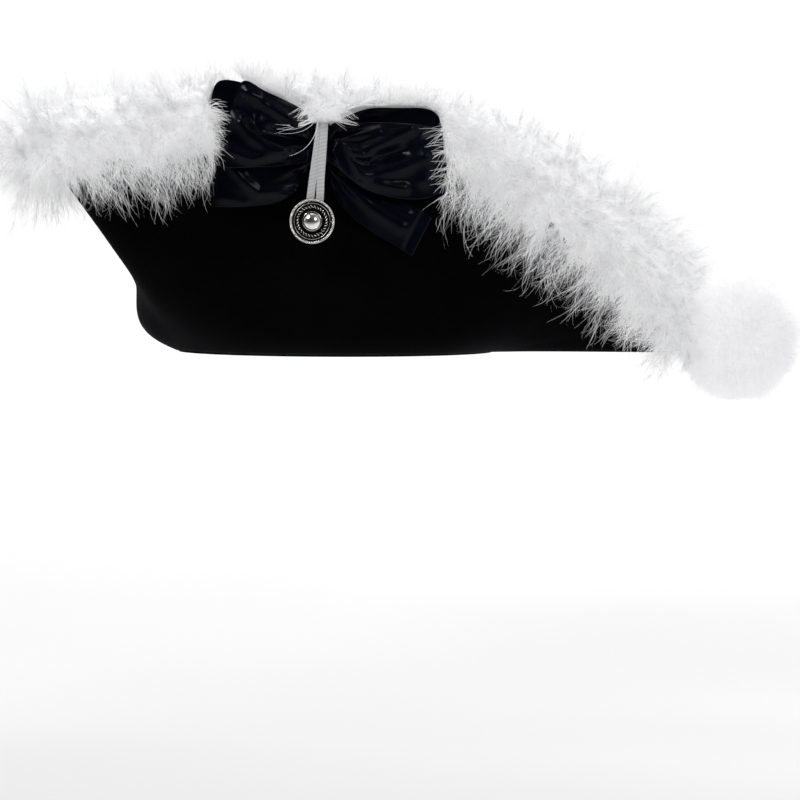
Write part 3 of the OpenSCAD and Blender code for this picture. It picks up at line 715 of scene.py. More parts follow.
COUNT = 4200
s_, c_, axes, R, phi, off, facing = boa_roots(COUNT, 0.12)
hang = np.clip((np.degrees(phi) - 95) / 40, 0, 1) * (np.degrees(phi) < 175)
droop = np.zeros_like(c_); droop[:, 2] = -0.12 - 0.1 * hang
V, F, U = plume_field(c_, axes, R * (0.94 - (0.34 + 0.14 * ((s_ > 7.2) & (s_ < 10.2))) * hang), 64, droop, facing, off=off)
V, F, U = drop_over_bow(V, F, U, 6)
boa = place("boa_plumes", (V, F, U), M["down"], "root")
# open plumes at the surface, whose long fine barbs stand apart and curl
m = 1700
s_, c_, axes, R, phi, off, facing = boa_roots(m, 0.6)
droop = np.zeros_like(c_); droop[:, 2] = -0.2
V, F, U = plume_field(c_, axes, R * 1.14, 28, droop, facing, width=(0.2, 0.32), open_=1.25, off=off, curl=1.05)
V, F, U = drop_over_bow(V, F, U, 6)
place("boa_open_plumes", (V, F, U), M["down"], "root")
# long loose barbs that leave the mass
m = int(COUNT * 2.6)
s_, c_, axes, R, phi, off, facing = boa_roots(m, 0.45)
g = np.zeros_like(c_); g[:, 2] = -0.35
V, F, U = strips(c_ + axes * (R * 0.5)[:, None], unit(axes + rng.normal(size=axes.shape) * 0.35), unit(axes * 0.8 + rng.normal(size=axes.shape) * 0.8 + g + off * 0.25),
                 R * rng.uniform(0.38, 0.8, len(R)), rng.uniform(0.18, 0.32, len(R)), np.ones(len(R)), rng.random(len(R)), 8, rng.normal(size=axes.shape) * 1.0, face=facing)
V, F, U = drop_over_bow(V, F, U, 9)
wisps = place("boa_wisps", (V, F, U), M["down"], "root")
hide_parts("near_feather_boa", "far_feather_boa", "back_feather_boa")


def on_bow_pt(p):
    p = np.asarray(p, float)
    return (np.array([19.0085, -98.7168, 130.0]) + p[..., 0:1] * np.array([BOW_C, BOW_S, 0]) + p[..., 1:2] * np.array([BOW_S, -BOW_C, 0])
            + p[..., 2:3] * np.array([0, 0, 1.0]))


def lines(name, curves, width, seg=12):
    """Single barbs along given curves, each a list of points."""
    n = len(curves)
    q = np.linspace(0, 1, seg + 1)
    P = np.empty((n, seg + 1, 3))
    for k, cpts in enumerate(curves):
        cpts = np.asarray(cpts, float)
        L_ = np.concatenate([[0], np.cumsum(np.linalg.norm(np.diff(cpts, axis=0), axis=1))])
        # quadratic blend through the points
        qq = q * L_[-1]
        if len(cpts) == 3:
            a_, b_c, c__ = cpts
            P[k] = ((1 - q) ** 2)[:, None] * a_ + (2 * q * (1 - q))[:, None] * b_c + (q ** 2)[:, None] * c__
        else:
            P[k] = np.stack([np.interp(qq, L_, cpts[:, j]) for j in range(3)], 1)
    P = on_bow_pt(P)
    tan = unit(np.gradient(P, axis=1))
    side = unit(np.cross(tan, np.array([BOW_S, -BOW_C, 0])[None, None]))
    w = np.asarray(width)[:, None] * (1 - 0.75 * q ** 1.3)[None]
    VV = np.stack([P - side * w[..., None] / 2, P + side * w[..., None] / 2], 2).reshape(-1, 3)
    f = grid_faces(seg + 1, 2)
    FF = (f[None] + (np.arange(n) * 2 * (seg + 1))[:, None, None]).reshape(-1, 4)
    UU = np.empty((n, seg + 1, 2, 2)); UU[..., 0] = (0.4 + 0.55 * q)[None, :, None]; UU[..., 1] = rng.random(n)[:, None, None]
    return place(name, (VV, FF, UU.reshape(-1, 2)), M["down"], "root")


# the barbs that fall over the bow's middle, where the trim covers the top of the ribbon
cv = []
for k in range(13):
    x0, z0, L0 = rng.uniform(-6, -1), rng.uniform(13.5, 17), rng.uniform(9, 25)
    cv.append([[x0, 15.5, z0], [x0 - L0 * 0.42, 16.3, z0 - L0 * rng.uniform(0.22, 0.42)], [x0 - L0, 15.7, z0 - L0 * rng.uniform(0.12, 0.42)]])
for k in range(12):
    x0 = rng.uniform(4, 8)
    z0 = rng.uniform(13.5, 16.5)
    L0 = rng.uniform(5, 16)
    cv.append([[x0, 15.6, z0], [x0 + L0 * 0.45, 16.2, z0 - rng.uniform(-1, 3)], [x0 + L0, 15.8, z0 - rng.uniform(1, 7)]])
cv.append([[-2, 16.2, 14], [-4, 17, -4], [-19.5, 16.0, -8]])
cv.append([[-4, 16.0, 15], [-12, 16.6, 6], [-27, 15.8, 8]])
cv.append([[-4, 16.0, 15.5], [-14, 16.6, 9], [-28, 15.8, 11]])
cv.append([[-3, 16.0, 14.5], [-9, 16.6, 4], [-26, 15.8, 5.5]])
lines("bow_wisps", cv, rng.uniform(0.24, 0.36, len(cv)))
# the tuft over the knot's top
tn = 620
tx = rng.normal(0.5, 5.2, tn).clip(-13, 14)
tz0 = rng.uniform(17, 26, tn)
ty0 = rng.uniform(8, 15, tn)
cv = [[[x * 0.8, y, z], [x, y + rng.uniform(2, 5), z - 1], [x * 1.25 + rng.normal(0, 2.4), 16.4 + rng.uniform(0, 2), rng.uniform(11.5, 17) + abs(x) * 0.12]] for x, y, z in zip(tx, ty0, tz0)]
lines("bow_top_tuft", cv, rng.uniform(0.26, 0.4, tn), 6)
# short down that stands up behind the loops' top edges
en = 2200
ex = np.concatenate([rng.uniform(-47, -6, en // 2), rng.uniform(6, 70, en // 2)])
ez = np.interp(ex, [-48, -42, -34, -22, -15, -9, -5, 5, 10, 21, 46, 63, 70], [39, 34.5, 31.3, 26.3, 23, 18, 14.5, 14.5, 16.5, 21.5, 22.5, 22.3, 19])
cv = []
for x, z in zip(ex, ez):
    an, L0, y = math.radians(rng.uniform(25, 155)), rng.uniform(6, 14), rng.uniform(1, 9)
    z += rng.uniform(0.3, 4)
    cv.append([[x, y, z], [x + L0 * 0.5 * math.cos(an) + rng.normal(0, 1), y + rng.uniform(1, 4), z + L0 * 0.6 * math.sin(an)], [x + L0 * math.cos(an), y + rng.uniform(0, 5), z + L0 * math.sin(an) * 0.85]])
lines("bow_edge_tuft", cv, rng.uniform(0.26, 0.42, len(cv)), 6)
# the tuft in the left loop's open end and beside it
tn = 330
cv = []
for k in range(tn):
    x0, z0 = rng.uniform(-73, -66), rng.uniform(-6, 22)
    L0 = rng.uniform(5, 13)
    an = rng.uniform(-70, 35)
    dx, dz = L0 * math.cos(math.radians(an)), L0 * math.sin(math.radians(an))
    cv.append([[x0, rng.uniform(5, 11), z0], [x0 + dx * 0.5 + rng.normal(0, 2.2), rng.uniform(9, 13), z0 + dz * 0.5 + rng.normal(1.5, 2)], [x0 + dx, rng.uniform(11.5, 14.5), z0 + dz - rng.uniform(0, 4)]])
cv.append([[-70, 14, 6], [-62, 15, -2], [-52.5, 14.6, -9.5]])
cv.append([[-73, 14, -2], [-71, 15, -12], [-68.5, 14.6, -28]])
lines("bow_side_tuft", cv, rng.uniform(0.24, 0.38, len(cv)), 7)
cv = []
for k in range(90):
    x0, z0 = rng.uniform(75, 83), rng.uniform(-34, 12)
    L0 = rng.uniform(7, 19)
    an = math.radians(rng.uniform(175, 262))
    dx, dz = L0 * math.cos(an), L0 * math.sin(an)
    cv.append([[x0, rng.uniform(8, 13), z0], [x0 + dx * 0.45 + 1, rng.uniform(13, 16), z0 + dz * 0.3 + 2.5], [x0 + dx, rng.uniform(13.5, 16), z0 + dz]])
lines("bow_right_wisps", cv, rng.uniform(0.2, 0.34, len(cv)), 8)

# ---------------------------------------------------------------- pompom
PC = np.array([261.0, 0, 10.0])


def pompom(count, radius):
    d = unit(rng.normal(size=(count, 3)))
    # soft clumps: neighbouring strands lean the same way
    lean = np.stack([soft_noise(d * 40, 0.22, 41 + k, 2) for k in range(3)], -1)
    base = PC + np.array([-2.5, 0, 0.5]) + d * rng.uniform(18, 29, count)[:, None]
    to_tip = unit(np.array([[-29.4, 0, -6.8]]))
    open_ = (d @ to_tip[0]) > 0.95
    d, base, lean = d[~open_], base[~open_], lean[~open_]
    n = len(d)
    ln = (radius + 3.5 * d[:, 2] ** 2 - np.linalg.norm(base - PC, axis=1)) * rng.uniform(0.75, 1.25, n)
    d1 = unit(d * 0.7 + lean * 0.7 + rng.normal(size=d.shape) * 0.6 + np.array([0, 0, -0.15]))
    return strips(base, unit(d + lean * 0.3 + rng.normal(size=d.shape) * 0.35), d1, ln, rng.uniform(0.28, 0.5, n), np.ones(n), rng.random(n), 5, rng.normal(size=d.shape) * 0.9, face=d)


core_u = np.linspace(0, np.pi, 60)
A2, B2 = np.meshgrid(np.linspace(0, 2 * np.pi, 120, endpoint=False), core_u, indexing="ij")
sp = np.stack([np.sin(B2) * np.cos(A2), np.sin(B2) * np.sin(A2), np.cos(B2)], -1)
sph = PC + sp * (28.5 + soft_noise(sp * 28, 0.35, 21, 3) * 0.9)[..., None]
pu = np.zeros((120 * 60, 2)); pu[:, 0] = 0.55 + 0.3 * soft_noise(sph, 0.9, 22, 2).ravel().clip(-1, 1); pu[:, 1] = 0.5
pom_core = add("pompom_down_core", sph.reshape(-1, 3), grid_faces(120, 60, True, False), M["fur"], "pompom", uv=pu)
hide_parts("pompom_fur", "pompom_core")
pom = place("pompom_fur_strands", pompom(56000, 37.5), M["fur"], "pompom")

# ---------------------------------------------------------------- bow
BOW_AT = np.array([19.0085, -98.7168, 130.0])
YAW = math.radians(19.5)
BX = np.array([math.cos(YAW), math.sin(YAW), 0])
BO = np.array([math.sin(YAW), -math.cos(YAW), 0])
BZ = np.array([0, 0, 1.0])


def on_bow(p):
    """[along the panel, away from the hat, height] to the hat's frame."""
    p = np.asarray(p, float)
    return BOW_AT + p[..., 0:1] * BX + p[..., 1:2] * BO + p[..., 2:3] * BZ


def cr_rows(rows, n):
    """n points of a Catmull-Rom spline through rows, evenly spaced along it."""
    rows = np.asarray(rows, float)
    k = len(rows)
    pad = np.vstack([2 * rows[0] - rows[1], rows, 2 * rows[-1] - rows[-2]])
    q = np.linspace(0, k - 1 - 1e-6, 40 * k)

    def at(q):
        i = q.astype(int)
        t = (q - i)[:, None]
        p0, p1, p2, p3 = pad[i], pad[i + 1], pad[i + 2], pad[np.minimum(i + 3, k + 1)]
        return 0.5 * (2 * p1 + (p2 - p0) * t + (2 * p0 - 5 * p1 + 4 * p2 - p3) * t ** 2 + (3 * p1 - p0 - 3 * p2 + p3) * t ** 3)
    d = at(q)
    l = np.concatenate([[0], np.cumsum(np.linalg.norm(np.diff((d[:, :3] + d[:, 3:6]) / 2 if d.shape[1] >= 6 else d[:, :3], axis=0), axis=1))])
    return at(np.interp(np.linspace(0, l[-1], n), l, q))


def ridge(X, Z, pts, w, a):
    """A soft fold that follows a path over the cloth."""
    best = np.full(X.shape, 1e9)
    for (x0, z0), (x1, z1) in zip(pts[:-1], pts[1:]):
        dx, dz = x1 - x0, z1 - z0
        t = np.clip(((X - x0) * dx + (Z - z0) * dz) / (dx * dx + dz * dz), 0, 1)
        best = np.minimum(best, np.hypot(X - x0 - t * dx, Z - z0 - t * dz))
    return a * np.exp(-(best / w) ** 2)


def area_of(o):
    return sum(p.area for p in o.data.polygons)


def cloth(name, rows, n_u, n_v, folds, pleat, mat, thick=0.35, knot_z=0.0, seed=0, front_at=8.0, end_hem=False):
    """A sheet between two edge curves. rows: [top x, out, z, bottom x, out, z, bulge]."""
    st = cr_rows(rows, n_u)
    v = np.linspace(0, 1, n_v)
    top, bot, bulge = st[:, None, 0:3], st[:, None, 3:6], st[:, None, 6:7]
    P = top + (bot - top) * v[None, :, None]
    P = P + np.array([0, 1.0, 0]) * bulge * np.sin(np.pi * v)[None, :, None]
    du = np.gradient(P, axis=0)
    dv = np.gradient(P, axis=1)
    N = unit(np.cross(du, dv))
    front = P[..., 1] > front_at
    X, Z = P[..., 0], P[..., 2]
    r = np.hypot(X, Z - knot_z)
    th = np.arctan2(Z - knot_z, np.abs(X))
    g = np.random.default_rng(seed)
    a = np.zeros_like(X)
    for k, amp in ((5.0, 0.55), (9.0, 0.5), (15.0, 0.35), (23.0, 0.2)):
        a += amp * np.cos(th * k + g.uniform(0, 6.28) + 0.25 * np.sin(r * 0.08 + g.uniform(0, 6.28)))
    D = a * pleat * np.exp(-((r - 9) / 34.0).clip(0) ** 1.4)
    D += soft_noise(np.stack([X, P[..., 1] * 2, Z], -1), 0.12, seed + 50, 3) * 0.28
    for pts, w, amp in folds:
        D += ridge(X, Z, pts, w, amp) * np.where(front, 1, 0.0)
    # ease the displacement out where the sheet enters the knot
    ease = np.clip((np.abs(X) - 4.5) / 4, 0, 1)
    P = P + np.array([0, 1.0, 0]) * (D * ease)[..., None]
    # the folds lie flat where the ribbon swings over them
    off_path = np.clip((np.abs(P[..., 0] + 2) - 0.34 * (21 - P[..., 2]) - 5) / 9, 0, 1)
    lim = 13.7 + 6 * off_path ** 2 * (3 - 2 * off_path)
    P[..., 1] = lim - np.logaddexp(0, (lim - P[..., 1]) * 4) / 4 if front_at > 0 else P[..., 1]
    # a woven selvedge stands a little proud along both long edges
    hem = np.exp(-((v - 0.012) / 0.012) ** 2) + np.exp(-((v - 0.988) / 0.012) ** 2)
    du = np.gradient(P, axis=0)
    dv = np.gradient(P, axis=1)
    N = unit(np.cross(du, dv))
    uq = np.linspace(0, 1, n_u)
    hem2 = np.broadcast_to(hem[None], (n_u, n_v)) + (np.exp(-((uq - 0.985) / 0.01) ** 2)[:, None] if end_hem else 0)
    th_ = (thick / 2) * (1 + 0.9 * hem2)[..., None]
    A = P + N * th_
    B = P - N * th_
    # closed section: front and back skins joined round all four edges
    ring = np.concatenate([A, B[:, ::-1]], 1)
    n2 = ring.shape[1]
    F = [grid_faces(n_u, n2, False, True)]
    m = n_v
    for row, rev in ((0, False), (n_u - 1, True)):
        b = row * n2
        q = np.array([[b + j, b + j + 1, b + n2 - 2 - j, b + n2 - 1 - j] for j in range(m - 1)])
        F.append(q[:, ::-1] if rev else q)
    o = add(name, on_bow(ring).reshape(-1, 3), np.vstack(F), mat, "root")
    return o


LEFT_LOOP = [
    [-4.6, 10.6, 10, -4.6, 10.6, -10, 0.0], [-11, 12.4, 19.5, -11, 12.2, -12, 0.6], [-22, 12.9, 25.5, -22, 12.8, -13.5, 1.0],
    [-34, 12.8, 31, -35, 13, -14.5, 1.3], [-45, 12.2, 37, -47, 12.6, -15, 1.5], [-50, 11.6, 32, -55, 11.4, -15, 1.4],
    [-56, 10.6, 14, -60, 9.8, -14, 0.9], [-61.5, 8.4, 6, -62.5, 7.6, -12.5, 0.3], [-66, 6.4, 20, -61.5, 5.8, -12.5, -0.4],
    [-62, 5.0, 36.5, -54, 4.9, -13.5, -0.3], [-46, 4.6, 36, -41, 4.6, -13, 0], [-28, 4.4, 28, -26, 4.4, -12, 0],
    [-12, 4.3, 16, -12, 4.3, -11, 0], [-4.6, 4.3, 10, -4.6, 4.3, -9.5, 0]]
RIGHT_LOOP = [
    [4.6, 10.6, 10, 4.6, 10.6, -10, 0], [13, 12.6, 12, 13, 12.4, -18, 0.8], [27, 13.2, 12.4, 27, 13.2, -28, 1.2],
    [44, 13.3, 12, 45, 13.4, -33, 1.4], [59, 12.5, 11, 61, 12.4, -33.5, 1.3], [68.5, 10.7, 10, 71.5, 10.2, -30, 0.6],
    [73.5, 8.2, 9, 75.2, 7.8, -26, 0.0], [71, 6.0, 17, 72.5, 5.8, -27, -0.2], [63, 5.2, 21.2, 61, 5.1, -29.5, 0],
    [46, 4.8, 21.5, 45, 4.8, -30, 0], [29, 4.5, 21, 28, 4.5, -26, 0], [14, 4.3, 15.5, 14, 4.3, -17, 0], [4.6, 4.3, 10, 4.6, 4.3, -9.5, 0]]
LEFT_TAIL = [
    [-4.6, 3.4, -5, -4.6, 3.4, -17, 0], [-12, 4.0, -7, -13, 3.6, -27, 0.8], [-24, 5.4, -9, -26, 3.4, -35.5, 1.4],
    [-40, 5.6, -9.5, -42, 3.4, -38, 2.0], [-54, 5.4, -10, -56, 3.6, -38.5, 1.6], [-63, 5.0, -11.5, -65, 4.0, -38, 0.6]]
RIGHT_TAIL = [
    [4.6, 3.4, -7, 4.6, 3.4, -19, 0], [12, 4.2, -14, 9, 4.0, -32, 0.8], [24, 5.4, -22, 17, 4.6, -42.5, 1.2],
    [38, 6.6, -30, 31, 5.8, -53.5, 1.4], [52, 8.6, -36.5, 44, 7.4, -61, 1.6], [60, 9.8, -40, 50, 8.6, -65, 0.8], [67, 8.8, -45, 55, 8.4, -68, 0.0]]
res = 1.0
left_loop = cloth("bow_left_loop_satin", LEFT_LOOP, int(260 * res), int(90 * res), [
    ([(-48, 12), (-41, 4), (-32, -3), (-20, -5)], 4.6, 3.6), ([(-44, 30), (-30, 21), (-14, 10)], 3.6, 2.4),
    ([(-56, -4), (-42, -10), (-24, -8)], 3.2, 2.2), ([(-36, 24), (-40, 12), (-50, 20)], 5, -2.2), ([(-30, 8), (-14, 1)], 3.4, -1.8)], 2.3, M["satin"], seed=1)
right_loop = cloth("bow_right_loop_satin", RIGHT_LOOP, int(260 * res), int(90 * res), [
    ([(54, 9), (40, 2), (24, -6), (12, -4)], 4.4, 3.6), ([(62, -8), (42, -17), (22, -19), (10, -10)], 4.8, 2.8),
    ([(66, -2), (62, -22)], 4.6, 2.0), ([(50, -27), (30, -25), (14, -14)], 3.4, 2.0), ([(48, -5), (30, -12)], 4, -2.4), ([(34, 8), (16, 4)], 3, 1.6)], 2.3, M["satin"], seed=2)
left_tail = cloth("bow_left_tail_satin", LEFT_TAIL, int(130 * res), int(60 * res), [
    ([(-55, -13), (-47, -22), (-38, -30), (-16, -29)], 3.2, 1.9), ([(-60, -33), (-46, -36)], 3, 0.8)], 1.2, M["satin"], knot_z=-8, seed=3, front_at=-9, end_hem=True)
right_tail = cloth("bow_right_tail_satin", RIGHT_TAIL, int(130 * res), int(60 * res), [
    ([(12, -22), (30, -38), (48, -50)], 4.0, 1.6), ([(62, -42), (55, -55), (51, -64)], 2.4, -1.3), ([(40, -36), (52, -42)], 3.0, 1.2)], 1.2, M["satin"], knot_z=-10, seed=4, front_at=-9, end_hem=True)
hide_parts("bow_left_loop")
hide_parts("bow_right_loop")
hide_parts("bow_left_tail")
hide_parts("bow_right_tail")

# the knot: a gathered band wrapped round the middle
ku, kv = 96, 40
U_, V_ = np.meshgrid(np.linspace(0, 2 * np.pi, ku, endpoint=False), np.linspace(-1, 1, kv), indexing="ij")
pl = 0.42 * np.cos(V_ * 9 + 1.1 * np.sin(U_)) + 0.25 * np.cos(V_ * 17 + 2 + np.sin(U_ * 2)) + 0.2 * np.sin(U_ * 3 + V_ * 4)
ro = 4.55 + pl * 0.8 - 0.9 * np.abs(V_) ** 6
ky = 7.6 + np.sign(np.cos(U_)) * np.abs(np.cos(U_)) ** 0.75 * ro
kz = np.sign(np.sin(U_)) * np.abs(np.sin(U_)) ** 0.8 * (12.2 + pl * 0.5 - 0.8 * np.abs(V_) ** 6)
kx = V_ * (5.0 + 0.5 * np.abs(np.sin(U_))) + 0.3 * np.sin(U_ * 2 + 1)
knot_o = np.stack([kx, ky, kz], -1)
knot_i = np.stack([kx * 0.99, 7.6 + (ky - 7.6) * 0.9, kz * 0.965], -1)
ring = np.concatenate([knot_o, knot_i[:, ::-1]], 1)
knot = add("bow_knot_satin", on_bow(ring).reshape(-1, 3), grid_faces(ku, ring.shape[1], True, True)[:, ::-1], M["satin"], "root")
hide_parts("bow_knot")

# ---------------------------------------------------------------- ribbon loop of grosgrain
W = [2.3, 2.3, 2.3, 2.3, 2.3, 2.2, 1.5, 1.2, 1.5, 2.2, 2.3, 2.3, 2.3, 2.3, 2.3]
C = [[-0.7, 14.45, 20.5], [-0.9, 14.4, 10], [-2.9, 14.4, -5], [-5.1, 14.5, -20], [-6.9, 14.6, -34], [-7.5, 14.7, -41], [-7.4, 14.7, -46.5],
     [-6.0, 14.7, -49.2], [-4.6, 14.7, -46.5], [-2.4, 14.75, -41], [-1.2, 14.8, -34], [-0.5, 14.9, -20], [0.6, 15.0, -5], [1.5, 15.05, 10], [1.7, 15.05, 20.5]]
n_rib = 1300
line = cr_rows([c + [w, 0, 0] for c, w in zip(C, W)][:], 2000)
cen, wid = line[:, :3], line[:, 3]
ln = np.concatenate([[0], np.cumsum(np.linalg.norm(np.diff(cen, axis=0), axis=1))])
ribbon_len = ln[-1]
dd = np.linspace(0, ribbon_len, n_rib)
cen = np.stack([np.interp(dd, ln, cen[:, k]) for k in range(3)], 1)
wid = np.interp(dd, ln, wid)
tg = unit(np.gradient(cen, axis=0))
sd = unit(np.cross(tg, np.array([0, 1.0, 0])))
rib = 0.5 + 0.5 * np.cos(dd / 0.82 * 2 * np.pi)
vv = np.linspace(-1, 1, 13)
edge = np.abs(vv) > 0.9
tk = np.where(edge[None], 0.30, 0.08 + 0.21 * rib[:, None])
wave = 0.18 * np.sin(dd * 0.11)[:, None] * vv[None]
scal = 1 + np.where(edge[None], 0.02 * np.cos(dd / 0.82 * 2 * np.pi)[:, None], 0)
Fp = cen[:, None] + sd[:, None] * (wid[:, None] * vv[None] * scal)[..., None] + np.array([0, 1.0, 0]) * (wave + tk)[..., None]
Bp = cen[:, None] + sd[:, None] * (wid[:, None] * vv[None] * scal)[..., None] + np.array([0, 1.0, 0]) * (wave - tk)[..., None]
ring = np.concatenate([Fp, Bp[:, ::-1]], 1)
n2 = ring.shape[1]
F = [grid_faces(n_rib, n2, False, True)]
for row, rev in ((0, False), (n_rib - 1, True)):
    b = row * n2
    q = np.array([[b + j, b + j + 1, b + n2 - 2 - j, b + n2 - 1 - j] for j in range(12)])
    F.append(q[:, ::-1] if rev else q)
ruv = np.empty((n_rib, n2, 2))
ruv[..., 0] = (dd / ribbon_len)[:, None] * 0.98 + 0.01
ruv[..., 1] = np.concatenate([(vv + 1) / 2, (vv[::-1] + 1) / 2])[None] * 0.98 + 0.01
m_, nt_, b_ = new_mat("grey_grosgrain")
u_ = nt_.nodes.new("ShaderNodeUVMap")
u_.uv_map = "OFBake"
sx = nt_.nodes.new("ShaderNodeSeparateXYZ")
nt_.links.new(u_.outputs["UV"], sx.inputs["Vector"])
mu = nt_.nodes.new("ShaderNodeMath"); mu.operation = "MULTIPLY"; mu.inputs[1].default_value = ribbon_len / 0.82 * 2 * math.pi / 0.98
of_ = nt_.nodes.new("ShaderNodeMath"); of_.operation = "SUBTRACT"; of_.inputs[1].default_value = 0.01 * ribbon_len / 0.82 * 2 * math.pi / 0.98
co = nt_.nodes.new("ShaderNodeMath"); co.operation = "COSINE"
nt_.links.new(sx.outputs["X"], mu.inputs[0]); nt_.links.new(mu.outputs[0], of_.inputs[0]); nt_.links.new(of_.outputs[0], co.inputs[0])
# painted shade and highlight: the colour runs dark in the grooves between ribs and pale on their crests, in step with
# the ribs' own geometry
nt_.links.new(ramp(nt_, to_range(nt_, co.outputs[0], 0, 1, -1, 1), [(0.0, (0.29, 0.29, 0.3)), (0.45, (0.66, 0.66, 0.67)), (1.0, (0.84, 0.84, 0.85))]), b_.inputs["Base Color"])
nt_.links.new(to_range(nt_, noise(nt_, coords(nt_), 900, 2), 0.38, 0.55), b_.inputs["Roughness"])
setv(b_, spec=0.35, sheen=0.05, sheen_rough=0.4)
M["grosgrain"] = m_
ribbon = add("ribbon_grosgrain", on_bow(ring).reshape(-1, 3), np.vstack(F), M["grosgrain"], "ribbon", uv=ruv.reshape(-1, 2))
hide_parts("ribbon_loop")

# ---------------------------------------------------------------- button
BTN = on_bow(np.array([-6.0, 16.5, -47.0]))


def on_button(p):
    """Button frame: x right, y up, z out of its face."""
    p = np.asarray(p, float)
    return BTN + p[..., 0:1] * BX + p[..., 1:2] * BZ + p[..., 2:3] * BO


def revolve(name, prof, mat, n=160, replaces=()):
    prof = np.asarray(prof, float)
    a = np.linspace(0, 2 * np.pi, n, endpoint=False)
    R = prof[:, 0].clip(0.01)
    P = np.stack([np.cos(a)[:, None] * R, np.sin(a)[:, None] * R, np.broadcast_to(prof[:, 1], (n, len(prof)))], -1)
    o = add(name, on_button(P).reshape(-1, 3), grid_faces(n, len(prof), True, False)[:, ::-1], mat, "button")
    if replaces:
        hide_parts(*replaces)
    return o


def rope(name, R, r, z, lobes, turns, depth, mat, n=720, m=20, squash=1.0):
    a = np.linspace(0, 2 * np.pi, n, endpoint=False)
    f = np.linspace(0, 2 * np.pi, m, endpoint=False)
    A, Fi = np.meshgrid(a, f, indexing="ij")
    rr = r * (1 - depth + depth * np.abs(np.cos((lobes * Fi - turns * A) / 2)) ** 0.7 * 1.6)
    P = np.stack([(R + rr * np.cos(Fi)) * np.cos(A), (R + rr * np.cos(Fi)) * np.sin(A), z + rr * np.sin(Fi) * squash], -1)
    return add(name, on_button(P).reshape(-1, 3), grid_faces(n, m, True, True), mat, "button")


RB = 13.5
plate = revolve("button_plate_disc", [[0, 0], [RB - 1.0, 0], [RB - 0.7, 0.3], [RB - 0.7, 1.1], [RB - 1.9, 1.5], [RB - 2.3, 1.25], [RB - 3.4, 1.25],
                                      [RB - 3.7, 1.0], [RB - 5.7, 1.0], [6.3, 0.8], [5.6, 0.7], [0, 0.7]], M["patina"], replaces=("button_plate", "button_rope_rim"))
rope("button_outer_rope", RB - 0.7, 0.7, 1.25, 2, 38 * 2, 0.5, M["silver"])
revolve("button_thin_ring", [[RB - 2.5, 1.1], [RB - 2.5, 1.65], [RB - 2.68, 1.85], [RB - 2.86, 1.65], [RB - 2.9, 1.1]], M["silver"])
revolve("button_thin_ring_inner", [[6.9, 0.8], [6.8, 1.2], [6.6, 1.3], [6.4, 1.2], [6.3, 0.7]], M["patina"])
# inner rope: slanted grains standing in the dark channel
gn = 30
ga = np.arange(gn) * 2 * np.pi / gn
gu, gv = np.meshgrid(np.linspace(0, 2 * np.pi, 14, endpoint=False), np.linspace(0, np.pi, 9), indexing="ij")
gs = np.stack([np.sin(gv) * np.cos(gu) * 0.33, np.cos(gv) * 1.12, np.sin(gv) * np.sin(gu) * 0.55], -1)
ca, sa = math.cos(math.radians(38)), math.sin(math.radians(38))
gs = np.stack([gs[..., 0] * ca - gs[..., 1] * sa, gs[..., 0] * sa + gs[..., 1] * ca, gs[..., 2]], -1)
GV, GF = [], []
for k, a in enumerate(ga):
    c_, s_ = math.cos(a), math.sin(a)
    p = gs + np.array([0, 8.75, 1.15])
    GV.append(np.stack([p[..., 0] * c_ - p[..., 1] * s_, p[..., 0] * s_ + p[..., 1] * c_, p[..., 2]], -1).reshape(-1, 3))
    GF.append(grid_faces(14, 9, True, False, base=k * 126))
add("button_inner_rope", on_button(np.vstack(GV)), np.vstack(GF), M["silver_bright"], "button")
dome = [[5.9, 0.7], [5.95, 1.3], [5.7, 1.5], [5.55, 1.35]] + [[5.5 * math.cos(t), 1.3 + 4.1 * math.sin(t)] for t in np.linspace(0.04, math.pi / 2, 26)]
dm = revolve("button_dome_polished", dome, M["silver_bright"], replaces=("button_dome",))



# ---------------------------------------------------------------- stitches
def stitches(name, P, N, length, gap, r, mat, lift=0.25, slant=0.0):
    """A row of thread stitches along a closed line P whose cloth faces N."""
    P, N = np.asarray(P), np.asarray(N)
    Q = np.vstack([P, P[:1]])
    L_ = np.concatenate([[0], np.cumsum(np.linalg.norm(np.diff(Q, axis=0), axis=1))])
    n = int(L_[-1] / (length + gap))
    at = (np.arange(n) + 0.5) * L_[-1] / n
    pos = np.stack([np.interp(at, L_, Q[:, k]) for k in range(3)], 1)
    nxt = np.stack([np.interp(at + 0.4, L_, Q[:, k]) for k in range(3)], 1)
    NN = np.vstack([N, N[:1]])
    nor = unit(np.stack([np.interp(at, L_, NN[:, k]) for k in range(3)], 1))
    t = unit(nxt - pos)
    b = np.cross(nor, t)
    t = unit(t + b * slant)
    b = np.cross(nor, t)
    q = np.linspace(-1, 1, 7)
    a = np.linspace(0, 2 * np.pi, 6, endpoint=False)
    rad = r * np.sqrt(np.clip(1 - np.abs(q) ** 4, 0.02, 1))
    hgt = lift * (1 - q ** 2) - 0.1
    V = (pos[:, None, None] + t[:, None, None] * (q * length / 2)[None, :, None, None] + nor[:, None, None] * hgt[None, :, None, None]
         + (b[:, None, None] * np.cos(a)[None, None, :, None] + nor[:, None, None] * np.sin(a)[None, None, :, None]) * rad[None, :, None, None])
    f = grid_faces(7, 6, False, True)
    capA, capB = np.array([[0, 1, 2, 3], [0, 3, 4, 5]]), 36 + np.array([[3, 2, 1, 0], [5, 4, 3, 0]])
    f = np.vstack([f, capA, capB])
    F = (f[None] + (np.arange(n) * 42)[:, None, None]).reshape(-1, 4)
    return add(name, V.reshape(-1, 3), F, mat, "root")


sa_ = np.linspace(0, 2 * np.pi, 720, endpoint=False)


def band_line(h, off):
    ins = crown_profile(h)
    return np.stack([(CROWN_A - ins - off) * np.cos(sa_), (CROWN_B - ins * 0.86 - off) * np.sin(sa_), np.full(720, h * CROWN_H)], 1)


